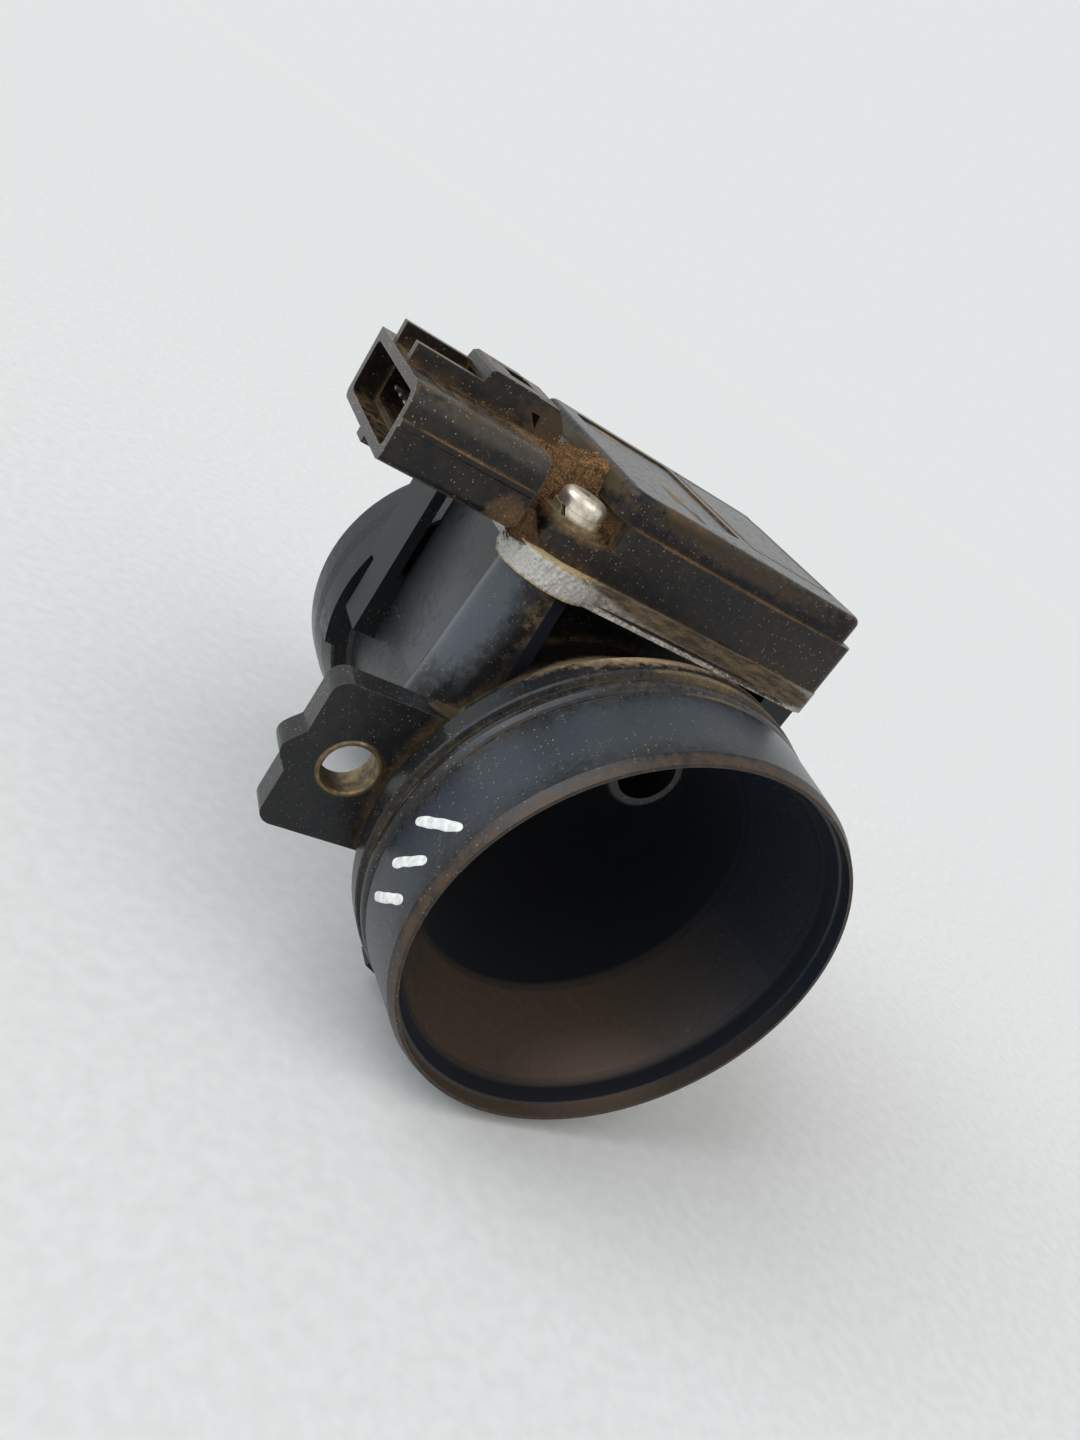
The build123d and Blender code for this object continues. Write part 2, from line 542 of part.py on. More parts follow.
def housing():
    """Black module housing: circuit tray, screw lobes and plug shroud."""
    b = rounded_plan(-BODY_X, BODY_X, BODY_Y0, BODY_Y1, PLATE_Z1, STEP_Z, BODY_CORNER)
    b = b - notch() - half_turn(notch()) - notch_edge() - half_turn(notch_edge())
    b = b + (shroud() - notch() - corner_relief())
    b = b + lobe() + half_turn(lobe())
    b = b - socket()
    b = b - rounded_plan(-TRAY_X, TRAY_X, TRAY_Y0, TRAY_Y1, PLATE_Z1 - OVER, LID_Z, TRAY_CORNER)
    for i in range(PIN_N):
        b = b - pin_body(i, PIN_GAP)
    for x, y in screw_spots():
        b = b - cyl_z(x, y, HOLE_R, PLATE_Z1 - OVER, LOBE_Z + OVER)
    return b - lid_room()


def lid():
    """Cover with a rounded rim, a framed field and a sunk label place."""
    y0, y1 = BODY_Y0 + LID_IN, BODY_Y1 - LID_IN
    c = rounded_plan(LID_X0, LID_X1, y0, y1, STEP_Z, LID_Z, LID_CORNER)
    c = fillet(c.edges().group_by(Axis.Z)[-1], LID_EDGE)
    x0, x1, fy0, fy1 = FRAME
    w = FRAME_W
    frame = box(x0, x1, fy0, fy1, LID_Z - FRAME_DEEP, LID_Z + OVER)
    frame = frame - box(x0 + w, x1 - w, fy0 + w, fy1 - w, LID_Z - OVER, LID_Z + 2 * OVER)
    pad = rounded_plan(*PAD, LID_Z - PAD_DEEP, LID_Z + OVER, PAD_CORNER)
    in_x, in_y = TRAY_X - 1.5, 1.5
    hollow = rounded_plan(-in_x, in_x, TRAY_Y0 + in_y, TRAY_Y1 - in_y,
                          STEP_Z - OVER, LID_Z - LID_SKIN, TRAY_CORNER)
    x, y = screw_spots()[-1]
    return c - frame - pad - hollow - cyl_z(x, y, HEAD_R + HEAD_ROOM, STEP_Z - OVER, LID_Z + OVER)


def lid_seal():
    """Silicone bead in the joint between the tray rim and the lid."""
    gap, w, z0 = 0.05, 1.9, STEP_Z - 1.4
    x = TRAY_X - gap
    y0, y1 = TRAY_Y0 + gap, TRAY_Y1 - gap
    outer = rounded_plan(-x, x, y0, y1, z0, STEP_Z, TRAY_CORNER)
    return outer - rounded_plan(w - x, x - w, y0 + w, y1 - w, z0 - OVER, STEP_Z + OVER, TRAY_CORNER)


def star_outline(x, y):
    """Star socket in a screw head: points and valleys by turns."""
    out = []
    for i in range(12):
        r = STAR_OUT_R if i % 2 == 0 else STAR_IN_R
        a = math.radians(30 * i)
        out.append((x + r * math.cos(a), y + r * math.sin(a)))
    return out


def screw(x, y):
    """Domed screw with a star socket, driven down into a post."""
    z0 = LOBE_Z + FLAT_T + SPRING_T
    z1 = z0 + HEAD_SIDE
    z2 = z1 + HEAD_DOME
    shank = cyl_z(x, y, SHANK_R, SHANK_Z0, z0 + 0.5)
    head = cyl_z(x, y, HEAD_R, z0, z2)
    head = fillet(head.edges().group_by(Axis.Z)[-1], HEAD_DOME)
    star = slab(star_outline(x, y), z2 - STAR_DEEP, z2 + OVER)
    return shank + head - star


def screws():
    return Compound(children=[screw(x, y) for x, y in screw_spots()])


def washer(x, y, od, z0, t, split):
    w = cyl_z(x, y, od / 2, z0, z0 + t)
    w = w - cyl_z(x, y, WASHER_ID / 2, z0 - OVER, z0 + t + OVER)
    if split:
        turn = Pos(x, y, z0 + t / 2) * Rot(0, 0, SPLIT_TURN) * Pos(od / 2, 0, 0) * Rot(35, 0, 0)
        w = w - turn * Box(od / 2 + OVER, SPLIT_W, 4 * t)
    return w


def washers(od, z0, t, split):
    return Compound(children=[washer(x, y, od, z0, t, split) for x, y in screw_spots()])


def stem_pin_spots():
    x, ya, yb = STEM_PIN_X, PROBE_Y + STEM_PIN_YA, PROBE_Y + STEM_PIN_YB
    return [(-x, ya), (x, ya), (-x, yb), (x, yb)]


def lead_spots():
    y = PROBE_Y + BEAD_LEAD_Y
    return [(-BEAD_LEAD_X, y), (BEAD_LEAD_X, y)]


def probe_stem():
    """Plug that closes the passage and carries the sensing pins."""
    s = cyl_z(0, PROBE_Y, PROBE_R, STEM_Z0, PLATE_Z0 - FLANGE_T)
    s = s + cyl_z(0, PROBE_Y, FLANGE_R, PLATE_Z0 - FLANGE_T, PLATE_Z0)
    s = s + cyl_z(0, PROBE_Y, STEM_NECK_R, PLATE_Z0, STEM_Z1)
    z0, z1 = O_Z - O_WIRE_R - 0.2, O_Z + O_WIRE_R + 0.2
    groove = cyl_z(0, PROBE_Y, FLANGE_R, z0, z1)
    s = s - (groove - cyl_z(0, PROBE_Y, O_RING_R - O_WIRE_R, z0 - OVER, z1 + OVER))
    for x, y in stem_pin_spots():
        s = s - cyl_z(x, y, STEM_PIN_R + PIN_GAP, STEM_Z0 - OVER, STEM_Z1 + OVER)
    for x, y in lead_spots():
        s = s - cyl_z(x, y, BEAD_LEAD_R + PIN_GAP, STEM_Z0 - OVER, STEM_Z1 + OVER)
    return s


def probe_pins():
    out = [cyl_z(x, y, STEM_PIN_R, STEM_PIN_Z0, STEM_PIN_Z1) for x, y in stem_pin_spots()]
    return Compound(children=out)


def wire_element(dy, r):
    """Wound platinum wire on a fine ceramic core, held between two pins."""
    y = PROBE_Y + dy
    core = cyl_x(y, ELEMENT_Z, r, -ELEMENT_L / 2, ELEMENT_L / 2)
    reach = STEM_PIN_X - STEM_PIN_R + 0.01
    return core + cyl_x(y, ELEMENT_Z, ELEMENT_LEAD_R, -reach, reach)


def thermistor(grow=0.0):
    return Pos(0, PROBE_Y + BEAD_LEAD_Y, THERM_Z) * Sphere(THERM_R + grow)


def thermistor_leads():
    out = []
    for x, y in lead_spots():
        out.append(cyl_z(x, y, BEAD_LEAD_R, THERM_Z, BEAD_LEAD_Z1) - thermistor(0.02))
    return Compound(children=out)


def o_ring():
    return Pos(0, PROBE_Y, O_Z) * Torus(O_RING_R, O_WIRE_R)


def board_shape(inset, z0, z1):
    x0, x1, y0, y1 = BOARD
    b = box(x0 + inset, x1 - inset, y0 + inset, y1 - inset, z0, z1)
    return b - cyl_z(0, PROBE_Y, BOARD_HOLE_R + inset, z0 - OVER, z1 + OVER)


def board_adhesive():
    return board_shape(GLUE_IN, PLATE_Z1, BOARD_Z0)


def circuit_board():
    return board_shape(0.0, BOARD_Z0, BOARD_Z1)


def control_chip():
    return box(*CHIP, BOARD_Z1, BOARD_Z1 + CHIP_T)


def power_transistor():
    return box(*TAB, BOARD_Z1, BOARD_Z1 + TAB_H) + box(*CASE, BOARD_Z1, BOARD_Z1 + CASE_T)


def chips(spots, length, width, height):
    """A group of like block chips, each centred on its spot."""
    out = []
    for x, y in spots:
        x0, y0 = x - length / 2, y - width / 2
        out.append(box(x0, x0 + length, y0, y0 + width, BOARD_Z1, BOARD_Z1 + height))
    return Compound(children=out)


def capacitors():
    return chips(CAPS, CAP_L, CAP_W, CAP_T)


def trim_resistors():
    return chips([(x, TRIM_Y) for x in TRIM_XS], TRIM_L, TRIM_W, TRIM_T)


def probe_links():
    """Short flat links from the probe pins out to the board."""
    out = []
    w, top = LINK_W / 2, STEM_PIN_Z1
    for x, y in stem_pin_spots():
        s = 1 if x > 0 else -1
        xa, xb = sorted((x, s * LINK_X))
        run = box(xa - 0.3, xb + 0.3, y - w, y + w, top, top + LINK_T)
        leg = box(s * LINK_X - 0.3, s * LINK_X + 0.3, y - w, y + w, BOARD_Z1, top + 0.1)
        out.append(run + leg)
    w, top = 0.2, BEAD_LEAD_Z1
    for x, y in lead_spots():
        run = box(x - w, x + w, y - 4.0, y + w, top, top + LINK_T)
        leg = box(x - w, x + w, y - 4.0, y - 4.0 + 2 * w, BOARD_Z1, top + 0.1)
        out.append(run + leg)
    return Compound(children=out)


def pins():
    out = []
    for i in range(PIN_N):
        p = pin_body(i, 0.0)
        tip = p.edges().filter_by(Axis.Y).group_by(Axis.X)[0]
        out.append(chamfer(tip, PIN_POINT))
    return Compound(children=out)


def bond_leads():
    """Flat links from the plug pins down to the board edge."""
    out = []
    z0, t, w = BOARD_Z1 + 0.35, 0.3, BOND_W / 2
    for i in range(PIN_N):
        y = pin_in_y(i)
        down = box(BOND_X0, BOND_X0 + BOND_T, y - w, y + w, z0, PIN_Z - PIN_T / 2)
        foot = box(BOND_X0, BOND_X1, y - w, y + w, z0, z0 + t)
        pad = box(BOND_X1 - 0.9, BOND_X1, y - w, y + w, BOARD_Z1, z0 + 0.1)
        out.append(down + foot + pad)
    return Compound(children=out)


def gel():
    """Soft silicone gel poured over the board."""
    x = TRAY_X - GEL_GAP
    g = rounded_plan(-x, x, TRAY_Y0 + GEL_GAP, TRAY_Y1 - GEL_GAP, PLATE_Z1, GEL_Z1, TRAY_CORNER)
    g = g - board_adhesive() - circuit_board()
    g = g - cyl_z(0, PROBE_Y, STEM_NECK_R, PLATE_Z1 - OVER, STEM_Z1)
    g = g - control_chip() - power_transistor()
    for group in (capacitors(), trim_resistors(), bond_leads(), probe_links(), probe_pins()):
        for p in group.children:
            g = g - p
    for x, y in lead_spots():
        g = g - cyl_z(x, y, BEAD_LEAD_R, STEM_Z1 - OVER, BEAD_LEAD_Z1)
    return g


def save(shape, name):
    export_step(shape, "parts/" + name + ".step")


save(flow_tube(), "flow_tube")
save(bushes(), "ear_bushes")
save(base_gasket(), "base_gasket")
save(base_plate(), "base_plate")
save(housing(), "module_housing")
save(lid(), "module_lid")
save(lid_seal(), "lid_seal")
save(screws(), "module_screws")
save(washers(SPRING_OD, LOBE_Z + FLAT_T, SPRING_T, True), "spring_washers")
save(washers(FLAT_OD, LOBE_Z, FLAT_T, False), "flat_washers")
save(probe_stem(), "probe_stem")
save(probe_pins(), "probe_pins")
save(wire_element(STEM_PIN_YA, HOT_R), "hot_wire_element")
save(wire_element(STEM_PIN_YB, COLD_R), "cold_wire_element")
save(thermistor(), "intake_thermistor")
save(thermistor_leads(), "thermistor_leads")
save(o_ring(), "probe_o_ring")
save(board_adhesive(), "board_adhesive")
save(circuit_board(), "circuit_board")
save(control_chip(), "control_chip")
save(power_transistor(), "power_transistor")
save(capacitors(), "capacitors")
save(trim_resistors(), "trim_resistors")
save(probe_links(), "probe_links")
save(gel(), "potting_gel")
save(pins(), "plug_pins")
save(bond_leads(), "bond_leads")
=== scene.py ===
import math

import bpy
import numpy as np
from mathutils import Matrix, Vector


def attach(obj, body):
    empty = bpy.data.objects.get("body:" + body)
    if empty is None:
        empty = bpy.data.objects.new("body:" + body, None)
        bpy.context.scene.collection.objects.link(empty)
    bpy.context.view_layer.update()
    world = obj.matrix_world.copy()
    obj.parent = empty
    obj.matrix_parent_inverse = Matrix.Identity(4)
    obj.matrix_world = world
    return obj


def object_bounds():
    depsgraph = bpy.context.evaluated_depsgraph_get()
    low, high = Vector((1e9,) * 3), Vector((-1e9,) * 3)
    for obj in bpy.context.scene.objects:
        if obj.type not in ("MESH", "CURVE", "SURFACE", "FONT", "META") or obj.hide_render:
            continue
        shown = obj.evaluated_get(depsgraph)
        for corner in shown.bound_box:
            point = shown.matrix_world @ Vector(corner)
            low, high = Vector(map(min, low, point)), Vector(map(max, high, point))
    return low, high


# Mass airflow sensor: finishes, packed dust, oxide and paint for the CAD part. Places and
# sizes are millimetres in the part's frame: the tube's axis runs along +Y from its inlet
# rim at Y = 0, the module sits at +Z, and the plug faces -X. Front is the inlet end, -Y.

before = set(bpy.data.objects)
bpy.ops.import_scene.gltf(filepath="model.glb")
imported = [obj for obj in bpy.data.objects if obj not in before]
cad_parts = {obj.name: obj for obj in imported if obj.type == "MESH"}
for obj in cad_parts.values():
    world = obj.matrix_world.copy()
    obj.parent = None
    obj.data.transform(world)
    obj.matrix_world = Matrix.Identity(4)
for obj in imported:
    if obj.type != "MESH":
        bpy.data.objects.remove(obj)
cad_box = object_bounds()

MM = 0.001  # metres in a millimetre
MIX_A, MIX_B, MIXED = 6, 7, 2  # a Mix node's sockets for colour: first, second and result


def linear(code):
    """sRGB hex to linear: c/12.92 up to 0.04045, ((c + 0.055)/1.055)^2.4 above."""
    c = np.array([int(code[i:i + 2], 16) for i in (1, 3, 5)]) / 255
    lin = np.where(c <= 0.04045, c / 12.92, ((c + 0.055) / 1.055) ** 2.4)
    return (*lin.tolist(), 1.0)


# ---------------------------------------------------------------- how finishes are made


def add(tree, kind, *feeds, out=0, **settings):
    """One node with its settings. Feeds go to its inputs in order, or to the input
    named by the first of a pair, linked or set as constants; gives one output."""
    node = tree.nodes.new("ShaderNode" + kind)
    for key, value in settings.items():
        setattr(node, key, value)
    for place, feed in enumerate(feeds):
        key, value = feed if isinstance(feed, tuple) and len(feed) == 2 else (place, feed)
        if isinstance(value, bpy.types.NodeSocket):
            tree.links.new(value, node.inputs[key])
        else:
            node.inputs[key].default_value = value
    return node.outputs[out] if node.outputs else node


def new_finish(name):
    """An empty finish: its material, its node tree and its place in millimetres."""
    mat = bpy.data.materials.new(name)
    mat.use_nodes = True
    tree = mat.node_tree
    tree.nodes.clear()
    place = add(tree, "TexCoord", out="Object")
    return mat, tree, add(tree, "VectorMath", place, (1 / MM,) * 3, operation="MULTIPLY")


def close_finish(tree, colour, rough, metal, relief, depth, shine=0.5):
    """Joins the patterns to the surface: relief is depth millimetres high, and shine is
    the level of its clear reflection, 0.5 for clean plastic or metal and less for dirt."""
    normal = add(tree, "Bump", ("Height", relief), ("Strength", 0.8), ("Distance", depth * MM))
    skin = add(tree, "BsdfPrincipled", ("Base Color", colour), ("Roughness", rough), ("Metallic", metal),
               ("Normal", normal), ("IOR", 1.5), ("Specular IOR Level", shine))
    add(tree, "OutputMaterial", skin)


def two_tone(tree, noise, dark, pale, low=0.36, high=0.66):
    """Two tones of one stuff that follow a noise, dark up to low and pale from high."""
    share = add(tree, "MapRange", noise, low, high)
    tones = (MIX_A, linear(dark)), (MIX_B, linear(pale))
    return add(tree, "Mix", share, *tones, out=MIXED, data_type="RGBA")


def coat(tree, colour, mask, share, over):
    """The colour, hidden to that share by a coat of another where the mask is 1."""
    hide = add(tree, "Math", mask, share, operation="MULTIPLY", use_clamp=True)
    return add(tree, "Mix", hide, (MIX_A, colour), (MIX_B, over), out=MIXED, data_type="RGBA")


def ragged(tree, mask, share, noise, low, high):
    """A soft mask with a crumbled border: 0.62 of the mask times its share and 0.6 of the
    noise are summed, and a ramp from low to high cuts the sum."""
    some = add(tree, "Math", mask, 0.62 * share, operation="MULTIPLY")
    both = add(tree, "Math", noise, 0.6, some, operation="MULTIPLY_ADD")
    return add(tree, "MapRange", both, low, high)


def patch(tree, mm, centre, radii, edge):
    """Soft ellipsoid patch: 1 inside, fading to 0 from its edge share to its skin."""
    off = add(tree, "VectorMath", mm, centre, operation="SUBTRACT")
    unit = add(tree, "VectorMath", off, tuple(1.0 / r for r in radii), operation="MULTIPLY")
    far = add(tree, "VectorMath", unit, out="Value", operation="LENGTH")
    return add(tree, "MapRange", far, edge, 1.0, 1.0, 0.0)


def spotted(tree, mm, mask, spots, noise, low, high):
    """The mask, and with it each listed spot (centre, radii, strength) with a crumbled border."""
    for centre, radii, strength in spots:
        spot = ragged(tree, patch(tree, mm, centre, radii, 0.35), strength, noise, low, high)
        mask = add(tree, "Math", mask, spot, operation="MAXIMUM")
    return mask


def corners(tree, reach, low, high):
    """Inside corners: 1 where surfaces within reach millimetres close the view."""
    free = add(tree, "AmbientOcclusion", ("Distance", reach * MM), out="AO", samples=6)
    return add(tree, "MapRange", free, low, high, 1.0, 0.0)


def edges(tree, radius, low, high):
    """Edges: 1 where the normal rounded over radius millimetres leaves the true one."""
    true = add(tree, "NewGeometry", out="True Normal")
    soft = add(tree, "Bevel", ("Radius", radius * MM), samples=5)
    same = add(tree, "VectorMath", true, soft, out="Value", operation="DOT_PRODUCT")
    return add(tree, "MapRange", same, low, high, 1.0, 0.0)


def lying(tree, low, high):
    """Surfaces that face up, where dust settles."""
    up = add(tree, "SeparateXYZ", add(tree, "NewGeometry", out="Normal"), out=2)
    return add(tree, "MapRange", up, low, high)


def grit(tree, mm, gap, share):
    """Grains of grit: dots in Voronoi cells of gap millimetres, in that share of the
    cells. Real grit is a few hundredths of a millimetre and would not show, so the
    dots are drawn about five times as coarse."""
    near = add(tree, "TexVoronoi", ("Vector", mm), ("Scale", 1.0 / gap), out="Distance")
    tint = add(tree, "TexVoronoi", ("Vector", mm), ("Scale", 1.0 / gap), out="Color")
    picked = add(tree, "MapRange", add(tree, "SeparateXYZ", tint), 1.0 - share, 1.0)
    dot = add(tree, "MapRange", near, 0.15, 0.25, 1.0, 0.0)
    return add(tree, "Math", dot, picked, operation="MULTIPLY")


STEP_R = (37.9, 38.3)  # painted shade on the step behind the inlet lip fades out between these radii
STEP_Y = (5.0, 7.0)  # and between these depths
BELL_Y = (3.0, 27.0)  # the bell, from that step to just past the start of the throat


def air_side(tree, mm):
    """Walls that face the tube axis (1 in the bell and bore), their depth from rim to
    throat, and the step behind the lip, which takes painted shade."""
    arm = add(tree, "VectorMath", mm, (1.0, 0.0, 1.0), operation="MULTIPLY")
    normal = add(tree, "NewGeometry", out="True Normal")
    # the arm from the axis points against the normal of a wall that faces the axis
    lean = add(tree, "VectorMath", arm, normal, out="Value", operation="DOT_PRODUCT")
    inner = add(tree, "MapRange", lean, -6.0, -2.0, 1.0, 0.0)
    back = add(tree, "SeparateXYZ", mm, out=1)
    reach = add(tree, "VectorMath", arm, out="Value", operation="LENGTH")
    step = add(tree, "MapRange", reach, *STEP_R, 1.0, 0.0)
    step = add(tree, "Math", step, add(tree, "MapRange", back, *STEP_Y, 1.0, 0.0), operation="MULTIPLY")
    inner = add(tree, "Math", inner, step, operation="MAXIMUM")
    return inner, add(tree, "MapRange", back, *BELL_Y), step


# ---------------------------------------------------------------- finishes


def glass_filled_pbt(name, dark, pale, dusts, patches, worn_and_painted_light=(), settle=0.3, gloss=(0.34, 0.5), sand=1.0,
                     shine=0.3, tube=False):
    """Injection moulded, glass filled PBT: near black with a satin skin and a faint
    grey flow mottling. Road dust lies in corners, on tops (settle is its share there)
    and in the listed patches (centre, radii, strength). Edges are rubbed pale, and grit
    is scattered over all of it, as thickly as sand says. Each zone of worn_and_painted_light
    (centre, radii, strength, tint, dull) is scuffed, grimy, silted, painted sheen or painted
    shade: it takes its tint and grows rougher by dull. Gloss is the range of the skin's
    roughness. Inside the tube the walls take a blue-grey painted sheen and the throat a near
    black painted shade, with dust settled along the low side of the bell."""
    mat, tree, mm = new_finish(name)
    # flow mottling in clouds of 14 mm and 1.6 mm; the skin's tooth of glass fibre ends is
    # nearer 0.05 mm, drawn at 0.45 mm so that it shows
    broad = add(tree, "TexNoise", ("Vector", mm), ("Scale", 1 / 14.0), ("Detail", 4.0))
    fine = add(tree, "TexNoise", ("Vector", mm), ("Scale", 1 / 1.6), ("Detail", 5.0), ("Roughness", 0.65))
    tooth = add(tree, "TexNoise", ("Vector", mm), ("Scale", 1 / 0.45), ("Detail", 3.0), ("Roughness", 0.7))
    mottle = add(tree, "Mix", 0.4, broad, fine)
    colour = two_tone(tree, mottle, dark, pale)
    film = ragged(tree, broad, 0.8, fine, 0.44, 0.66)
    colour = coat(tree, colour, film, 0.26, linear(dusts[0]))
    # where dust lies, and how thin it is between the teeth
    dust = ragged(tree, lying(tree, 0.2, 0.9), settle, fine, 0.42, 0.60)
    nooks = ragged(tree, corners(tree, 4.0, 0.25, 0.80), 0.8, fine, 0.48, 0.70)
    dust = add(tree, "Math", dust, nooks, operation="MAXIMUM")
    dust = spotted(tree, mm, dust, patches, fine, 0.44, 0.66)
    thin = add(tree, "MapRange", tooth, 0.30, 0.62, 0.40, 1.0)
    dust = add(tree, "Math", dust, thin, operation="MULTIPLY")
    rub = ragged(tree, edges(tree, 0.55, 0.55, 0.97), 0.8, fine, 0.46, 0.72)
    grains = grit(tree, mm, 0.62, 0.5)
    drift = add(tree, "MapRange", broad, 0.40, 0.62, 0.4 * sand, sand)
    grains = add(tree, "Math", grains, drift, operation="MULTIPLY")
    throat, outer = 0.0, 1.0
    if tube:
        # outside finish stops at the inlet rim; the throat and the step behind the lip take painted shade and
        # are matt
        inner, deep, step = air_side(tree, mm)
        outer = add(tree, "Math", 1.0, inner, operation="SUBTRACT")
        dust = add(tree, "Math", dust, outer, operation="MULTIPLY")
        rub = add(tree, "Math", rub, outer, operation="MULTIPLY")
        swept = add(tree, "MapRange", inner, 0.0, 1.0, 1.0, 0.22)
        grains = add(tree, "Math", grains, swept, operation="MULTIPLY")
        # where shade is painted: deep in the throat, and on the step behind the lip
        throat = add(tree, "Math", inner, add(tree, "MapRange", deep, 0.84, 0.94), operation="MULTIPLY")
        throat = add(tree, "Math", throat, step, operation="MAXIMUM")
        lit = add(tree, "Math", 1.0, throat, operation="SUBTRACT")
        grains = add(tree, "Math", grains, lit, operation="MULTIPLY")
        # blue-grey painted sheen on the walls that face the axis
        colour = coat(tree, colour, inner, 0.95, linear("#242a32"))
        fallen = add(tree, "Math", inner, lying(tree, -0.10, 0.85), operation="MULTIPLY")
        uneven = add(tree, "MapRange", fine, 0.25, 0.6, 0.75, 1.0)
        fallen = add(tree, "Math", fallen, uneven, operation="MULTIPLY")
        colour = coat(tree, colour, fallen, 0.95, linear("#54473b"))
        # a paler patch low inside the lip: painted highlight on the settled dust
        lip_highlight = patch(tree, mm, (16.0, 6.0, -31.0), (19.0, 10.0, 12.0), 0.05)
        lip_highlight = add(tree, "Math", inner, lip_highlight, operation="MULTIPLY")
        colour = coat(tree, colour, lip_highlight, 0.6, linear("#78655a"))
        # near black navy painted shade over the throat and the step behind the lip
        colour = coat(tree, colour, throat, 0.96, linear("#0a101a"))
    brown = two_tone(tree, broad, dusts[0], dusts[1], 0.35, 0.65)
    colour = coat(tree, colour, dust, 0.9, brown)
    colour = coat(tree, colour, rub, 0.42, linear(dusts[1]))
    matt = dust
    for centre, radii, strength, tint, dull in worn_and_painted_light:
        zone = ragged(tree, patch(tree, mm, centre, radii, 0.3), strength, fine, 0.43, 0.72)
        zone = add(tree, "Math", zone, outer, operation="MULTIPLY")
        colour = coat(tree, colour, zone, 1.0, linear(tint))
        matt = add(tree, "Math", zone, dull, matt, operation="MULTIPLY_ADD", use_clamp=True)
    colour = coat(tree, colour, grains, 0.85, linear("#bcab8e"))
    satin = add(tree, "MapRange", mottle, 0.35, 0.7, *gloss)
    rough = add(tree, "Math", matt, 0.4, satin, operation="MULTIPLY_ADD")
    rough = add(tree, "Math", rough, throat, operation="MAXIMUM")
    relief = add(tree, "Math", tooth, 0.5, dust, operation="MULTIPLY_ADD")
    close_finish(tree, colour, rough, 0.0, relief, 0.05, shine)
    return mat


def corroded_aluminium(name, crusts, grimes, rims, seams):
    """Cast aluminium: dull grey metal under white powdery oxide with black pits (crusts),
    brown road grime in bands (grimes), yellow stained rims, and dark seams.
    Each list holds spots (centre, radii, strength)."""
    mat, tree, mm = new_finish(name)
    # blotches of 5 mm and 0.9 mm; salt grains of about 0.1 mm, drawn at 0.35 mm so that they show
    broad = add(tree, "TexNoise", ("Vector", mm), ("Scale", 1 / 5.0), ("Detail", 5.0), ("Roughness", 0.6))
    fine = add(tree, "TexNoise", ("Vector", mm), ("Scale", 1 / 0.9), ("Detail", 5.0), ("Roughness", 0.7))
    salt = add(tree, "TexNoise", ("Vector", mm), ("Scale", 1 / 0.35), ("Detail", 3.0), ("Roughness", 0.75))
    metal = two_tone(tree, fine, "#7b786f", "#9c978c", 0.35, 0.7)
    oxide = ragged(tree, broad, 0.5, fine, 0.46, 0.60)
    oxide = spotted(tree, mm, oxide, crusts, fine, 0.38, 0.58)
    white = two_tone(tree, salt, "#c1baad", "#fbf8f2", 0.30, 0.44)
    worked = add(tree, "Mix", 0.45, broad, fine)
    yellow = add(tree, "MapRange", worked, 0.56, 0.64)
    white = coat(tree, white, yellow, 0.5, linear("#a79b81"))
    pits = add(tree, "MapRange", worked, 0.36, 0.42, 1.0, 0.0)
    white = coat(tree, white, pits, 0.5, linear("#5f5848"))
    colour = coat(tree, metal, oxide, 1.0, white)
    grime = ragged(tree, corners(tree, 3.0, 0.2, 0.8), 0.9, broad, 0.46, 0.70)
    grime = spotted(tree, mm, grime, grimes, fine, 0.40, 0.58)
    # grime lies in streaks about 0.8 mm high and 3.7 mm long
    along = add(tree, "VectorMath", mm, (0.3, 1.0, 1.4), operation="MULTIPLY")
    streak = add(tree, "TexNoise", ("Vector", along), ("Scale", 1 / 1.1), ("Detail", 5.0), ("Roughness", 0.7))
    brown = two_tone(tree, streak, "#392d20", "#85704f", 0.42, 0.72)
    colour = coat(tree, colour, grime, 0.92, brown)
    stain = spotted(tree, mm, 0.0, rims, fine, 0.44, 0.58)
    colour = coat(tree, colour, stain, 0.8, two_tone(tree, salt, "#7d6642", "#cdb27a", 0.36, 0.56))
    seam = spotted(tree, mm, 0.0, seams, fine, 0.40, 0.56)
    colour = coat(tree, colour, seam, 0.9, linear("#1d1712"))
    hidden = add(tree, "Math", oxide, grime, operation="MAXIMUM")
    metallic = add(tree, "MapRange", hidden, 0.0, 1.0, 0.85, 0.0)
    rough = add(tree, "MapRange", hidden, 0.0, 1.0, 0.50, 0.95)
    relief = add(tree, "Math", salt, 0.8, fine, operation="MULTIPLY_ADD")
    close_finish(tree, colour, rough, metallic, relief, 0.22)
    return mat


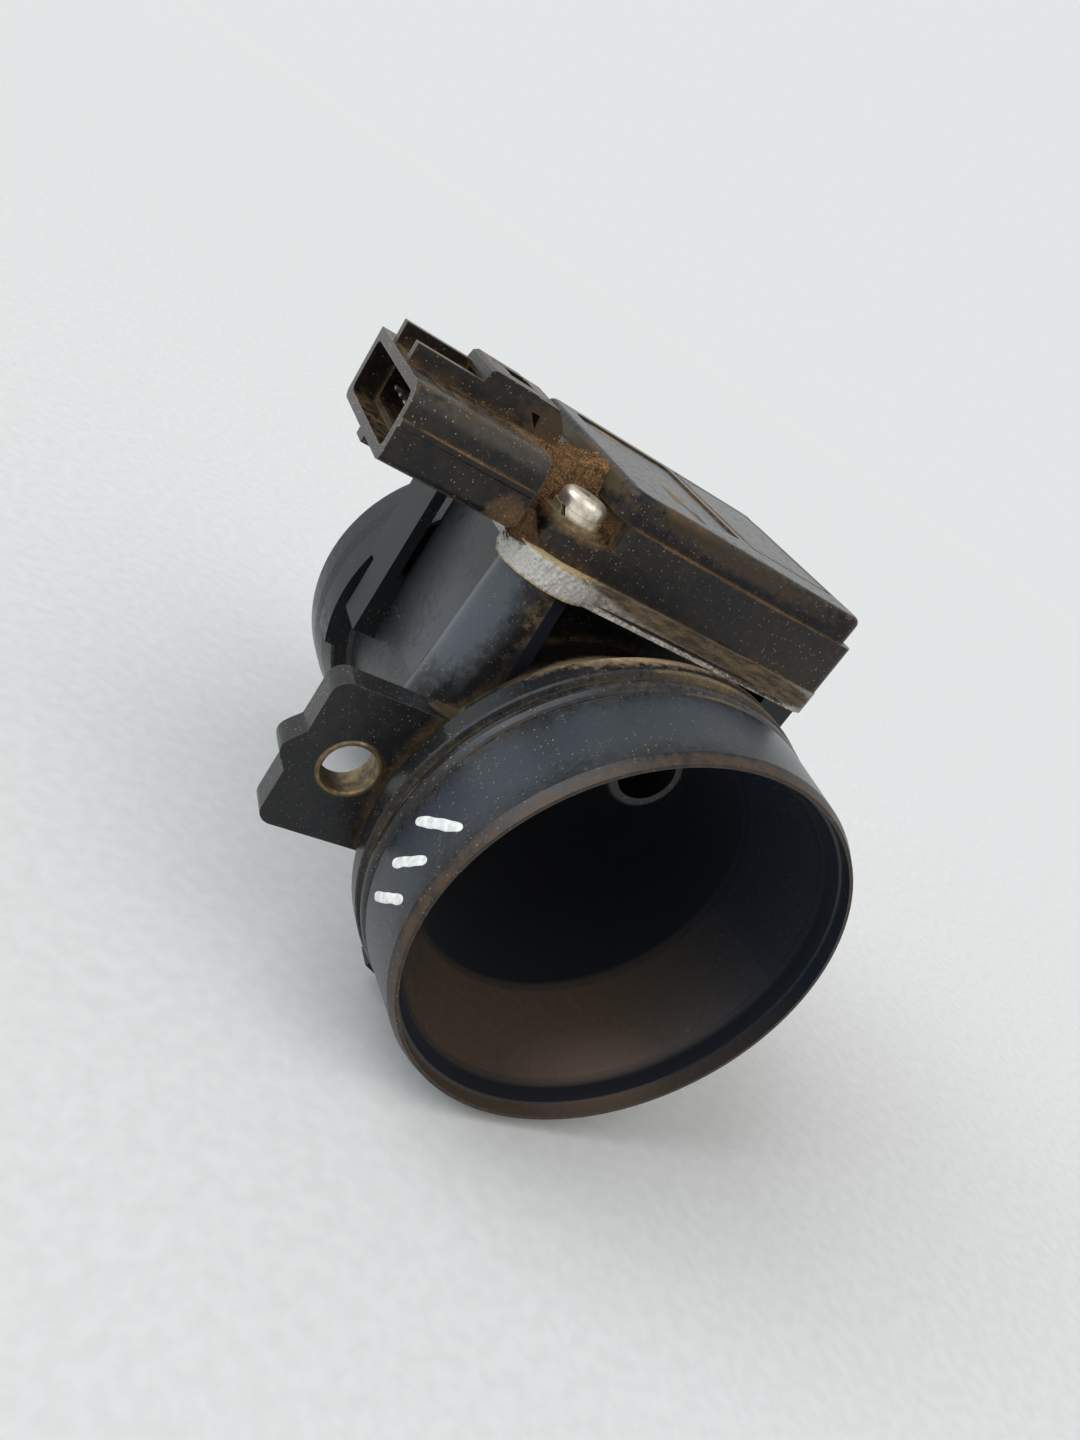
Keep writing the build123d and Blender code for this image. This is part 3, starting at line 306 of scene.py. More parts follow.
def plated_steel(name, bright, tarnish, dust, dusty, gloss, metal=0.9):
    """Zinc plated steel: a dull metal sheen with cloudy tarnish, dust held in its
    corners and in small flecks on its face, in the share that dusty gives."""
    mat, tree, mm = new_finish(name)
    # tarnish in clouds of 1.8 mm; flecks of 0.1 mm, drawn at 0.35 mm so that they show
    cloud = add(tree, "TexNoise", ("Vector", mm), ("Scale", 1 / 1.8), ("Detail", 4.0), ("Roughness", 0.6))
    fine = add(tree, "TexNoise", ("Vector", mm), ("Scale", 1 / 0.35), ("Detail", 4.0), ("Roughness", 0.7))
    colour = two_tone(tree, cloud, bright, tarnish, 0.38, 0.62)
    dirt = ragged(tree, corners(tree, 1.6, 0.3, 0.85), 0.9, fine, 0.46, 0.66)
    flecks = ragged(tree, cloud, dusty, fine, 0.46, 0.60)
    dirt = add(tree, "Math", dirt, flecks, operation="MAXIMUM")
    colour = coat(tree, colour, dirt, 0.9, linear(dust))
    metallic = add(tree, "MapRange", dirt, 0.0, 1.0, metal, 0.05)
    satin = add(tree, "MapRange", cloud, 0.35, 0.7, *gloss)
    rough = add(tree, "Math", dirt, 0.35, satin, operation="MULTIPLY_ADD")
    close_finish(tree, colour, rough, metallic, fine, 0.03)
    return mat


DARKER_BELOW_Z = (46.0, 53.0)  # dust darkens fully below the first height and not at all above the second


def packed_dust(name, low, high, crumb):
    """Packed road dust: dry, matt and granular, brown with paler dry crumbs, and
    darker towards the bottom of the notch."""
    mat, tree, mm = new_finish(name)
    # lumps of 2.4 mm; grains of 0.1 mm, drawn at 0.40 mm so that they show
    lumps = add(tree, "TexNoise", ("Vector", mm), ("Scale", 1 / 2.4), ("Detail", 5.0), ("Roughness", 0.65))
    grains = add(tree, "TexNoise", ("Vector", mm), ("Scale", 1 / 0.40), ("Detail", 3.0), ("Roughness", 0.75))
    colour = two_tone(tree, lumps, low, high, 0.36, 0.64)
    pale = add(tree, "MapRange", grains, 0.54, 0.64)
    colour = coat(tree, colour, pale, 0.75, linear(crumb))
    pit = add(tree, "MapRange", grains, 0.34, 0.44, 1.0, 0.0)
    colour = coat(tree, colour, pit, 0.7, linear("#241a11"))
    darker_low = add(tree, "MapRange", add(tree, "SeparateXYZ", mm, out=2), *DARKER_BELOW_Z, 1.0, 0.0)
    colour = coat(tree, colour, darker_low, 0.6, linear("#33271b"))
    close_finish(tree, colour, 0.95, 0.0, grains, 0.30, 0.2)
    return mat


def even_finish(name, low, high, size, gloss, metal=0.0, depth=0.02):
    """Small inner pieces and paint: two close tones in blotches of size millimetres."""
    mat, tree, mm = new_finish(name)
    cloud = add(tree, "TexNoise", ("Vector", mm), ("Scale", 1.0 / size), ("Detail", 3.0))
    colour = two_tone(tree, cloud, low, high, 0.38, 0.64)
    rough = add(tree, "MapRange", cloud, 0.35, 0.7, *gloss)
    close_finish(tree, colour, rough, metal, cloud, depth)
    return mat


def dress(node, finish):
    """Puts a finish on a CAD node."""
    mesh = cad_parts[node].data
    mesh.materials.clear()
    mesh.materials.append(finish)


# ---- tube: black moulding, brown dust at the post foot, on the ear and on the neck behind the ring ----
dress("flow_tube", glass_filled_pbt(
    # its tones carry a faint blue cast: painted blue reflection on the moulding
    "moulded PBT, tube", "#13171c", "#22282f", ("#443a2f", "#86704e"),
    patches=[
        ((-2.0, 34.0, 36.0), (38.0, 9.0, 16.0), 1.0),  # top of the neck, up to the plate
        ((-28.0, 29.5, 28.0), (12.0, 6.0, 12.0), 0.95),  # neck behind the ring, plug side
        ((-30.5, 42.0, 13.0), (7.0, 8.0, 6.5), 0.95),  # post foot
        ((-36.0, 31.5, 14.6), (5.6, 3.6, 1.6), 1.1),  # top edge of the ear, at its root
        ((0.0, 21.6, 41.0), (34.0, 1.4, 3.5), 0.9),  # groove between the bead and the ring
        ((0.0, 17.0, 41.0), (36.0, 0.8, 3.5), 0.8),  # groove in front of the bead
    ],
    worn_and_painted_light=[
        ((-38.5, 40.0, 30.0), (7.0, 9.5, 20.0), 1.0, "#4c5156", 0.15),  # left side of the post, painted blue-grey sheen
        ((0.0, 9.5, 0.0), (120.0, 9.5, 120.0), 1.0, "#2d3237", 0.1),  # collar, painted blue-grey sheen
        ((-36.0, 62.0, 14.0), (13.0, 20.0, 20.0), 0.95, "#383b3f", 0.15),  # side of barrel and plinth, painted blue-grey sheen
        ((-34.0, 98.0, 14.0), (15.0, 40.0, 42.0), 0.9, "#15171a", 0.6),  # outlet end, painted shade, and matt
        ((0.0, 20.0, 32.0), (42.0, 5.5, 20.0), 0.56, "#463d33", 0.4),  # bead and ring, module side, grimy
        ((-10.0, 31.0, 34.0), (26.0, 10.5, 15.0), 1.3, "#a38a69", 0.7),  # top of the neck: dust, painted paler as painted light where the module shades it
        ((-20.0, 119.6, 29.0), (24.0, 2.2, 16.0), 0.8, "#4f3c2a", 0.4),  # outlet edge, grimy
        ((-6.0, 26.0, 40.6), (34.0, 1.6, 4.0), 0.8, "#6d5a44", 0.6),  # back edge of the ring, dusty
        ((0.0, 0.7, 0.0), (60.0, 2.3, 60.0), 0.95, "#4e3a27", 0.8),  # inlet rim, rubbed brown
    ],
    settle=0.05, gloss=(0.26, 0.42), sand=0.6, tube=True))

# ---- circuit tray with its plug: golden dust round the screw, at the plug root and on its ribs ----
dress("module_housing", glass_filled_pbt(
    "moulded PBT, circuit tray", "#0f1113", "#1d1f22", ("#4f3d2a", "#8f7049"),
    patches=[
        ((-31.0, 42.0, 49.5), (9.5, 9.0, 3.5), 1.1),  # screw lobe
        ((-34.0, 52.0, 54.0), (12.0, 9.0, 6.0), 1.0),  # plug root, behind the notch
        ((-41.0, 45.0, 57.5), (9.0, 8.0, 3.4), 0.95),  # top of the plug beside the notch
        ((-44.0, 38.0, 46.0), (5.0, 3.0, 4.5), 0.85),  # low on the front side of the plug
        ((-52.0, 36.9, 51.5), (14.0, 1.0, 0.5), 1.25),  # side rib of the plug: dust on its ledge, and a painted highlight along its lit top edge
        ((-50.0, 55.5, 57.0), (16.0, 4.8, 2.2), 0.95),  # between the rails
        ((-2.0, 35.9, 54.3), (32.0, 1.0, 0.8), 0.95),  # ledge under the lid
        ((-38.0, 37.0, 46.5), (3.2, 3.0, 4.0), 1.1),  # corner between the plug and the lobe
    ],
    worn_and_painted_light=[
        ((-50.0, 41.0, 56.2), (20.0, 8.0, 3.8), 0.7, "#41372a", 0.0),  # front edge of the plug's top, grimy
        ((-38.0, 47.0, 57.0), (10.0, 10.0, 3.0), 0.8, "#5d4a33", 0.7),  # plug's top beside the notch, silted
        ((-40.0, 53.0, 59.6), (9.0, 7.0, 3.6), 0.85, "#4a3925", 0.7),  # latch and rail ends, silted
    ],
    settle=0.27, gloss=(0.28, 0.42)))

# ---- lid: bare label place with one streak over it, silt at the far edge and in the frame ----
dress("module_lid", glass_filled_pbt(
    # its tones carry a blue cast: painted blue reflection on the lid
    "moulded PBT, lid", "#151a22", "#252f3c", ("#564430", "#8d7047"),
    patches=[
        ((-10.4, 50.0, 59.4), (2.2, 12.0, 2.0), 0.9),  # streak over the label place
        ((-27.3, 55.0, 57.4), (1.8, 18.0, 2.4), 1.05),  # plug side
        ((-14.0, 37.5, 58.8), (12.0, 2.2, 2.0), 0.8),  # front edge, plug half
        ((4.8, 60.0, 59.4), (1.2, 20.0, 1.2), 0.9),  # groove of the frame, plug side
    ],
    worn_and_painted_light=[
        ((-14.0, 86.6, 59.4), (9.0, 1.4, 2.0), 0.8, "#9c8457", 0.7),  # far edge, silted
        ((-14.5, 80.5, 59.4), (7.0, 2.4, 2.0), 0.7, "#8d7850", 0.7),  # far end of the label place, smeared
        ((-1.0, 86.4, 59.4), (8.0, 2.0, 2.0), 0.8, "#a38c5f", 0.7),  # far edge, silted
        ((-2.0, 37.4, 57.6), (36.0, 4.6, 3.4), 0.72, "#463d32", 0.5),  # front edge and side, grimy
        ((-27.6, 55.0, 57.6), (4.2, 30.0, 3.2), 0.72, "#4c4132", 0.5),  # plug side, grimy
        ((-10.6, 50.0, 59.4), (0.9, 10.0, 1.0), 0.95, "#7d6a4b", 0.7),  # core of the streak
    ],
    settle=0.16, gloss=(0.24, 0.38), shine=0.12))

# ---- cast plate: white crust on the screw lobe; its front is brown above a crumbly white lip ----
plate_finish = corroded_aluminium(
    "cast aluminium, corroded",
    crusts=[
        ((-34.0, 38.0, 41.5), (12.5, 12.0, 4.0), 1.1),  # lobe under the screw
        ((-8.0, 34.8, 39.4), (24.0, 2.0, 0.9), 0.8),  # lip along the front
        ((20.0, 34.9, 39.6), (9.0, 2.0, 1.6), 0.9),  # end of that lip away from the plug
        ((-34.0, 62.0, 41.5), (6.0, 26.0, 4.0), 0.7),  # plug side
    ],
    grimes=[
        ((2.0, 34.8, 42.6), (27.0, 2.4, 2.2), 1.25),  # front, under the tray
        ((17.0, 34.8, 41.6), (14.0, 2.4, 2.8), 1.1),  # half of the front away from the plug
        ((-20.0, 35.5, 43.2), (7.0, 2.4, 1.2), 0.8),  # beside the lobe
    ],
    rims=[
        ((-33.0, 37.0, 44.0), (12.0, 11.0, 0.5), 0.85),  # upper edge of the lobe
        ((-33.0, 37.0, 39.2), (12.0, 11.0, 0.6), 0.9),  # lower edge of the lobe
    ],
    seams=[((-4.0, 34.8, 40.35), (22.0, 1.6, 0.38), 1.2)])  # above the lip
dress("base_plate", plate_finish)

# ---- fasteners: grey zinc on the screws, yellow zinc gone brown on washers and bushes ----
steel_finish = plated_steel("zinc plated steel, dulled", "#e8ddcf", "#b9ad9b", "#a08c66", 0.18, (0.32, 0.46))
dress("module_screws", steel_finish)
dress("spring_washers", steel_finish)
dress("flat_washers", plated_steel(
    "yellow zinc steel, dusty", "#93805c", "#5d503c", "#6f5738", 0.6, (0.4, 0.6), 0.6))
dress("ear_bushes", plated_steel(
    "yellow zinc steel, bush", "#86724f", "#5a5246", "#54432e", 0.5, (0.34, 0.52)))

# ---- pieces inside ----
# cured rubber: deep black and matt
seal_finish = even_finish("black silicone rubber", "#141414", "#222222", 2.0, (0.6, 0.75))
for node in ("base_gasket", "lid_seal", "probe_o_ring"):
    dress(node, seal_finish)
# moulded nylon: dark brown, half matt
dress("probe_stem", even_finish("moulded nylon, stem", "#1f1a15", "#2e261e", 3.0, (0.45, 0.6)))
# drawn wire under nickel: pale and shiny
bright_finish = even_finish("nickel plated wire", "#b9b6ad", "#d6d3ca", 0.8, (0.25, 0.4), 1.0)
for node in ("probe_pins", "thermistor_leads", "probe_links", "bond_leads"):
    dress(node, bright_finish)
# glazed: brown under a smooth hard skin
glass_finish = even_finish("glazed sensing element", "#7b4b33", "#a5704c", 0.3, (0.15, 0.3))
for node in ("hot_wire_element", "cold_wire_element", "intake_thermistor"):
    dress(node, glass_finish)
# cured silicone paste: light grey and matt
dress("board_adhesive", even_finish("grey bonding silicone", "#b5b5ae", "#cccbc4", 2.0, (0.6, 0.7)))
# fired alumina: off white and chalky
dress("circuit_board", even_finish("alumina board", "#d2cfc4", "#e6e3da", 1.5, (0.55, 0.7)))
# moulded epoxy: black and dull
chip_finish = even_finish("epoxy chip body", "#141516", "#242526", 0.6, (0.5, 0.65))
dress("control_chip", chip_finish)
dress("power_transistor", chip_finish)
# fired ceramic: tan, half matt
dress("capacitors", even_finish("ceramic capacitor", "#9b7a4e", "#b9966a", 0.8, (0.4, 0.55)))
# thick film under glaze: dark green, half shiny
dress("trim_resistors", even_finish("glazed thick film resistor", "#1f2a25", "#2f3d36", 0.6, (0.35, 0.5)))
# silicone gel: a wet shine on pale yellow, drawn solid because the lid hides it
dress("potting_gel", even_finish("clear silicone gel", "#c8c3aa", "#d8d4be", 6.0, (0.1, 0.2)))
# tinned brass: grey metal, half shiny
dress("plug_pins", even_finish("tinned brass", "#a9a498", "#c6c1b3", 0.8, (0.3, 0.45), 1.0))

# ---------------------------------------------------------------- new pieces


WAVES = 18


def ripple(x, y, size, least, seed):
    """Smooth uneven field, about -1 to 1: the sum of 18 sine waves of random heading and
    phase, with wavelengths between least and size millimetres, over 5.5."""
    rng = np.random.default_rng(seed)
    turn, phase = rng.uniform(0, 2 * np.pi, (2, WAVES))
    pull = 2 * np.pi / rng.uniform(least, size, WAVES)
    way = x[..., None] * np.cos(turn) + y[..., None] * np.sin(turn)
    return np.sin(pull * way + phase).sum(axis=-1) / 5.5


def smooth_step(v, low, high):
    """0 up to low, 1 from high on, and 3t^2 - 2t^3 between; it falls where low is the larger."""
    t = np.clip((v - low) / (high - low), 0, 1)
    return t * t * (3 - 2 * t)


def bank(away, tall, run):
    """Height of a heap against a wall: tall * e^(-away / run)."""
    return tall * np.exp(-away / run)


def closed_shell(name, top, base, finish):
    """Closed shell between two grids of points (rows, columns, 3) in millimetres:
    the top, the base, and a wall round their common border."""
    rows, cols = top.shape[:2]
    n = rows * cols
    spots = np.vstack((top.reshape(-1, 3), base.reshape(-1, 3))) * MM
    i, j = np.meshgrid(np.arange(rows - 1), np.arange(cols - 1), indexing="ij")
    a = (i * cols + j).ravel()
    quad = np.stack((a, a + 1, a + cols + 1, a + cols), axis=1)
    near, far = np.arange(cols), np.arange(cols - 2, -1, -1) + (rows - 1) * cols
    right, left = np.arange(1, rows) * cols + cols - 1, np.arange(rows - 2, 0, -1) * cols
    ring = np.concatenate((near, right, far, left))
    after = np.roll(ring, -1)
    wall = np.stack((ring, ring + n, after + n, after), axis=1)
    return shown(name, spots, np.vstack((quad[:, ::-1], quad + n, wall[:, ::-1])).tolist(), finish)


def shown(name, spots, faces, finish):
    """Mesh object at the origin from points in metres, its normals outward."""
    mesh = bpy.data.meshes.new(name)
    mesh.from_pydata(spots.tolist(), [], faces)
    if sum(p.center.dot(p.normal) * p.area for p in mesh.polygons) < 0:
        mesh.flip_normals()
    mesh.shade_smooth()
    mesh.materials.append(finish)
    piece = bpy.data.objects.new(name, mesh)
    bpy.context.scene.collection.objects.link(piece)
    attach(piece, "root")
    return piece


# ---- packed dust round the screw and along the lid, on the heights of the tray below it ----
dust_finish = packed_dust("packed road dust", "#4d3928", "#846340", "#bb9266")
LOBE_TOP, PLUG_TOP, PLATE_TOP = 49.0, 56.7, 43.9  # Z of the screw lobe, the plug and the cast plate
NOTCH_LEFT, NOTCH_RIGHT, NOTCH_BACK = -41.5, -25.0, 48.6  # X, X and Y of the walls of the screw notch
NOTCH_FRONT = 36.7  # Y of the notch's open side, just inside the tray's front
LID_SIDE = -27.6  # X where the bank on the plug root starts to fall away from the lid's side
SCREW = (-31.7, 41.6)
LOBE, LOBE_R = (-30.9, 42.9), 6.9  # screw lobe of the tray
SWEPT_R, SWEPT_LEAN = 4.9, 0.5  # radius of the funnel round the screw, and its lean to the front
LOBE_FALL = -0.3  # how far past the lobe's edge the dust on it drops off: just inside it
CORNER_BACK = 43.6  # Y where the corner between the lobe and the plug ends


def notch_dust(x, y):
    """Height over the screw notch: banks that fall off exponentially from its back,
    left and right walls, a cleared funnel round the screw, and a slope that runs out
    of the corner beside the lobe."""
    back, left, right = NOTCH_BACK - y, x - NOTCH_LEFT, NOTCH_RIGHT - x
    high = LOBE_TOP + 0.15 + bank(back, 7.4, 2.3) + bank(left, 3.6, 2.2) * smooth_step(y, 38.0, 44.0)
    high += bank(right, 2.6, 1.3) * smooth_step(y, 37.5, 42.0)
    # over the back wall the dust thins out on the plug's top
    high = np.where(back < 0, PLUG_TOP + 0.25 - 0.9 * np.abs(back), high)
    high = np.minimum(high, PLUG_TOP + 0.2)
    # round the screw it is swept away, furthest on the side that faces left and front
    off = np.hypot(x - SCREW[0], y - SCREW[1])
    facing = (0.55 * (SCREW[0] - x) + 0.83 * (SCREW[1] - y)) / np.maximum(off, 0.1)
    funnel = 2.3 * np.maximum(off - SWEPT_R - SWEPT_LEAN * facing, 0) ** 1.15
    high = np.minimum(high, LOBE_TOP + 0.9 - 0.6 * np.clip(facing, 0, 1) + funnel)
    # in the corner beside the lobe it drops to the cast plate
    beside = np.hypot(x - LOBE[0], y - LOBE[1]) - LOBE_R
    slope = bank(np.maximum(beside - 1.8, 0), 4.2, 3.0) * smooth_step(y, 36.6, 42.6)
    pit = PLATE_TOP - 0.3 + slope * smooth_step(y + 0.5 * left, 37.2, 39.5)
    fallen = np.minimum(high, np.maximum(pit, PLATE_TOP - 0.3))
    high = np.where((beside > LOBE_FALL) & (y < CORNER_BACK), fallen, high)
    # on the lobe it runs out to the front
    bare = LOBE_TOP - 0.25
    high = np.where(beside <= LOBE_FALL, bare + (high - bare) * smooth_step(y, 36.9, 38.6), high)
    rough = 0.16 * ripple(x, y, 3.0, 1.2, 3) + 0.09 * ripple(x, y, 1.2, 0.6, 4)
    return high + rough * smooth_step(high, LOBE_TOP - 2.0, LOBE_TOP + 1.5)


# its base lies in the cast plate, a little higher by the plug, and behind the notch in the plug's top
x, y = np.meshgrid(np.linspace(NOTCH_LEFT - 0.4, NOTCH_RIGHT + 0.3, 150),
                   np.linspace(NOTCH_FRONT, NOTCH_BACK + 0.8, 112), indexing="ij")
high = notch_dust(x, y)
low = np.where(y > NOTCH_BACK - 0.3, PLUG_TOP - 1.2, PLATE_TOP - 0.2 + 0.3 * (x < -39.6))
low = np.minimum(low, high - 0.05)
closed_shell("dust_round_screw", np.stack((x, y, high), axis=2), np.stack((x, y, low), axis=2),
             dust_finish)


def root_dust(x, y):
    """Height over the plug root: a bank that falls off exponentially from the lid's
    side, with a ripple, and that runs out towards the rails and to its far end."""
    side = np.maximum(LID_SIDE - x, 0)
    high = 0.30 + bank(side, 1.9, 2.0 + 1.2 * smooth_step(y, 56.0, 50.0))
    high *= 1 + 0.22 * ripple(x, y, 4.0, 1.4, 6)
    rim = smooth_step(x - 0.25 * (y - 50.0), -42.5, -35.0) * smooth_step(64.0 - y, 0.0, 10.0)
    crumbly = 0.10 * ripple(x, y, 3.6, 1.6, 8) + 0.09 * ripple(x, y, 1.4, 0.6, 7)
    return PLUG_TOP - 0.27 + high * rim + crumbly * smooth_step(rim, 0.0, 0.25)


# from the rails to just under the lid's edge, and from the notch to where the bank has run out
x, y = np.meshgrid(np.linspace(-43.4, -27.0, 140), np.linspace(48.7, 64.4, 134), indexing="ij")
closed_shell("dust_at_plug_root", np.stack((x, y, root_dust(x, y)), axis=2),
             np.stack((x, y, np.full_like(x, PLUG_TOP - 1.0)), axis=2), dust_finish)


def ball_points(around, between):
    """Points of a unit ball without its poles, (around, between, 3): that many columns
    round the axis, each with that many points at equal angles from pole to pole."""
    a, b = np.meshgrid(np.arange(around) * 2 * np.pi / around,
                       np.arange(1, between + 1) * np.pi / (between + 1), indexing="ij")
    return np.stack((np.sin(b) * np.cos(a), np.sin(b) * np.sin(a), np.cos(b)), axis=2)


def ball_faces(around, between):
    """Faces of that ball when its two poles follow its columns, the top one first:
    quads between the columns, and triangles up to each pole."""
    i, j = np.meshgrid(np.arange(around), np.arange(between - 1), indexing="ij")
    here, there = (i * between + j).ravel(), ((i + 1) % around * between + j).ravel()
    quads = np.stack((here, there, there + 1, here + 1), axis=1)
    column = np.arange(around) * between
    after = np.roll(column, -1)
    top = np.full(around, around * between)
    upper = np.stack((after, column, top), axis=1)
    lower = np.stack((column + between - 1, after + between - 1, top + 1), axis=1)
    return quads, np.vstack((upper, lower))


def crumbs(name, spots, sizes, seed):
    """Loose crumbs in one mesh: each is a ball of 6 x 3 points and two poles, scaled to its
    size, with every point moved in or out by up to a quarter."""
    ball = np.vstack((ball_points(6, 3).reshape(-1, 3), (0, 0, 1), (0, 0, -1)))
    wobble = np.random.default_rng(seed).uniform(0.75, 1.25, (len(spots), len(ball), 1))
    points = spots[:, None] + ball * wobble * sizes[:, None, None]
    step = len(ball) * np.arange(len(spots))[:, None, None]
    quads, caps = ball_faces(6, 3)
    faces = (quads + step).reshape(-1, 4).tolist() + (caps + step).reshape(-1, 3).tolist()
    return shown(name, points.reshape(-1, 3) * MM, faces, dust_finish)


# crumbs in the notch outside the swept funnel, over the plug root, and thinning out along the plug
IN_NOTCH, AT_ROOT, ON_PLUG = 700, 520, 160  # how many are drawn there, before those out of bounds go
rng = np.random.default_rng(51)
x = rng.uniform(NOTCH_LEFT + 0.5, NOTCH_RIGHT - 0.6, IN_NOTCH)
y = rng.uniform(38.6, NOTCH_BACK - 0.4, IN_NOTCH)
in_notch = np.stack((x, y, notch_dust(x, y)), axis=1)[np.hypot(x - SCREW[0], y - SCREW[1]) > SWEPT_R + 0.7]
in_notch = in_notch[in_notch[:, 2] > LOBE_TOP + 0.6]
x, y = LID_SIDE - 0.3 - rng.exponential(5.0, AT_ROOT), 50.0 + 12.0 * rng.beta(1.2, 1.8, AT_ROOT)
at_root = np.stack((x, y, np.maximum(root_dust(x, y), PLUG_TOP)), axis=1)[x > NOTCH_LEFT - 1.0]
x, y = NOTCH_LEFT - rng.exponential(2.6, ON_PLUG), rng.uniform(42.4, NOTCH_BACK + 1.0, ON_PLUG)
on_plug = np.stack((x, y, np.full_like(x, PLUG_TOP)), axis=1)[x > NOTCH_LEFT - 12.5]
spots = np.vstack((in_notch, at_root, on_plug))
crumbs("dust_crumbs", spots, 0.09 + 0.16 * rng.beta(1.2, 3.0, len(spots)), 52)


# ---- white oxide that has grown out of the cast plate ----
PLATE_LOBE, PLATE_LOBE_R = (-31.1, 41.2), 8.8  # screw lobe of the cast plate
PLATE_FRONT, PLATE_FOOT = 34.9, 39.3  # Y of the cast plate's front edge and Z of its underside
ROOTED = 0.35  # how deep the oxide's back lies in the metal


def oxide_crust(name, way, out_way, low, high, thick, seed):
    """Crumbly oxide on an upright edge: thickness = thick * (0.4 + ripples) where that
    is above zero, fading to nothing at both ends; elsewhere it lies under the metal."""
    run = np.concatenate(([0], np.cumsum(np.hypot(*np.diff(way, axis=0).T))))
    t = np.linspace(0, 1, 30)
    s, h = np.meshgrid(run, low + (high - low) * t, indexing="ij")
    grow = 0.40 + 0.55 * ripple(s, h, 4.0, 1.6, seed) + 0.35 * ripple(s, h, 1.3, 0.5, seed + 1)
    fade = np.clip(np.minimum(s, run[-1] - s) / 3.0, 0, 1)
    out = thick * np.clip(grow, -0.1, 1.6) * fade - 0.03
    out = out * np.clip(5 * np.minimum(t, 1 - t) + 0.4, 0, 1)[None, :]  # thinner at top and bottom
    skin = way[:, None, :] + out_way[:, None, :] * out[:, :, None]
    back = way[:, None, :] - out_way[:, None, :] * ROOTED + np.zeros_like(skin)
    squeezed = 0.98 * h + 0.01 * (low + high)  # the back is a fiftieth less tall than the skin
    return closed_shell(name, np.concatenate((skin, h[:, :, None]), axis=2),
                        np.concatenate((back, squeezed[:, :, None]), axis=2), plate_finish)


# round the free side of the lobe, then along the front from the lobe towards the other end
turn = np.radians(np.linspace(112.0, 312.0, 300))
spoke = np.stack((np.cos(turn), np.sin(turn)), axis=1)
oxide_crust("oxide_on_plate_lobe", np.array(PLATE_LOBE) + PLATE_LOBE_R * spoke, spoke,
            PLATE_FOOT - 0.1, PLATE_TOP + 0.1, 0.45, 11)
front = np.linspace(-25.2, 27.0, 520)
flat = np.zeros_like(front)
oxide_crust("oxide_on_plate_lip", np.stack((front, flat + PLATE_FRONT), axis=1),
            np.stack((flat, flat - 1), axis=1), PLATE_FOOT - 0.15, PLATE_FOOT + 0.95, 0.5, 21)


def lump(name, centre, size, seed):
    """Rounded lump of oxide: a ball of 40 x 19 points and two poles, its radius 1 + 0.22
    times a ripple, scaled to its half sizes."""
    ball = ball_points(40, 19)
    r = 1 + 0.22 * ripple(ball[:, :, 0] + ball[:, :, 2], ball[:, :, 1] - ball[:, :, 2], 1.6, 0.5, seed)
    spots = np.vstack(((ball * r[:, :, None]).reshape(-1, 3), (0, 0, 1), (0, 0, -1)))
    quads, caps = ball_faces(40, 19)
    return shown(name, (np.array(centre) + spots * size) * MM, quads.tolist() + caps.tolist(),
                 plate_finish)


LUMPS = (  # centre and half sizes, on the lobe's edge on the plug side
    ((-39.6, 43.6, 43.2), (0.9, 1.1, 1.0)),
    ((-39.9, 42.2, 41.9), (0.8, 1.0, 1.1)),
    ((-38.9, 45.4, 43.6), (0.8, 0.9, 0.7)),
)
for k, (spot, size) in enumerate(LUMPS):
    lump("oxide_lump_%d" % (k + 1), spot, size, 41 + k)


# ---- plain dabs of white marker paint on the collar ----
RIM_R, CHAMFER_Y, CHAMFER_R = 39.15, 2.0, 40.0  # outside radius at the rim, then where its chamfer ends
COLLAR_LONG, COLLAR_RISE = 14.4, 0.9  # from there the collar widens by the second over the first
COLLAR_MID_R = 40.5  # turns a length of arc into an angle


def collar_r(y):
    """Radius of the inlet collar at y millimetres behind the rim: two straight tapers."""
    chamfer = RIM_R + (CHAMFER_R - RIM_R) * y / CHAMFER_Y
    return np.where(y < CHAMFER_Y, chamfer, CHAMFER_R + COLLAR_RISE * (y - CHAMFER_Y) / COLLAR_LONG)


def paint_dab(name, angle, mid, long, wide, lean, seed):
    """Plain dab of paint, a straight stroke with round ends: over a square (p, q) its half
    width is wide / 2 * sqrt(1.04 - p^8), wavering, and its height 0.01 + 0.10 * (1 - r^4)
    with r the larger of |q| and p^4."""
    p, q = np.meshgrid(np.linspace(-1, 1, 61), np.linspace(-1, 1, 17), indexing="ij")
    waver = 1 + 0.10 * ripple(3 * p, q, 3.0, 1.2, seed)
    u = 0.5 * long * p
    v = 0.5 * wide * q * np.sqrt(1.04 - p ** 8) * waver
    r = np.maximum(np.abs(q), p ** 4)
    c, s = math.cos(math.radians(lean)), math.sin(math.radians(lean))
    y = mid + c * u - s * v
    arc = (s * u + c * v) / COLLAR_MID_R + math.radians(angle)
    out = collar_r(y) + 0.01 + 0.10 * (1 - r ** 4)
    under = collar_r(y) - 0.05
    return closed_shell(name, np.stack((out * np.cos(arc), y, out * np.sin(arc)), axis=2),
                        np.stack((under * np.cos(arc), y, under * np.sin(arc)), axis=2),
                        paint_finish)


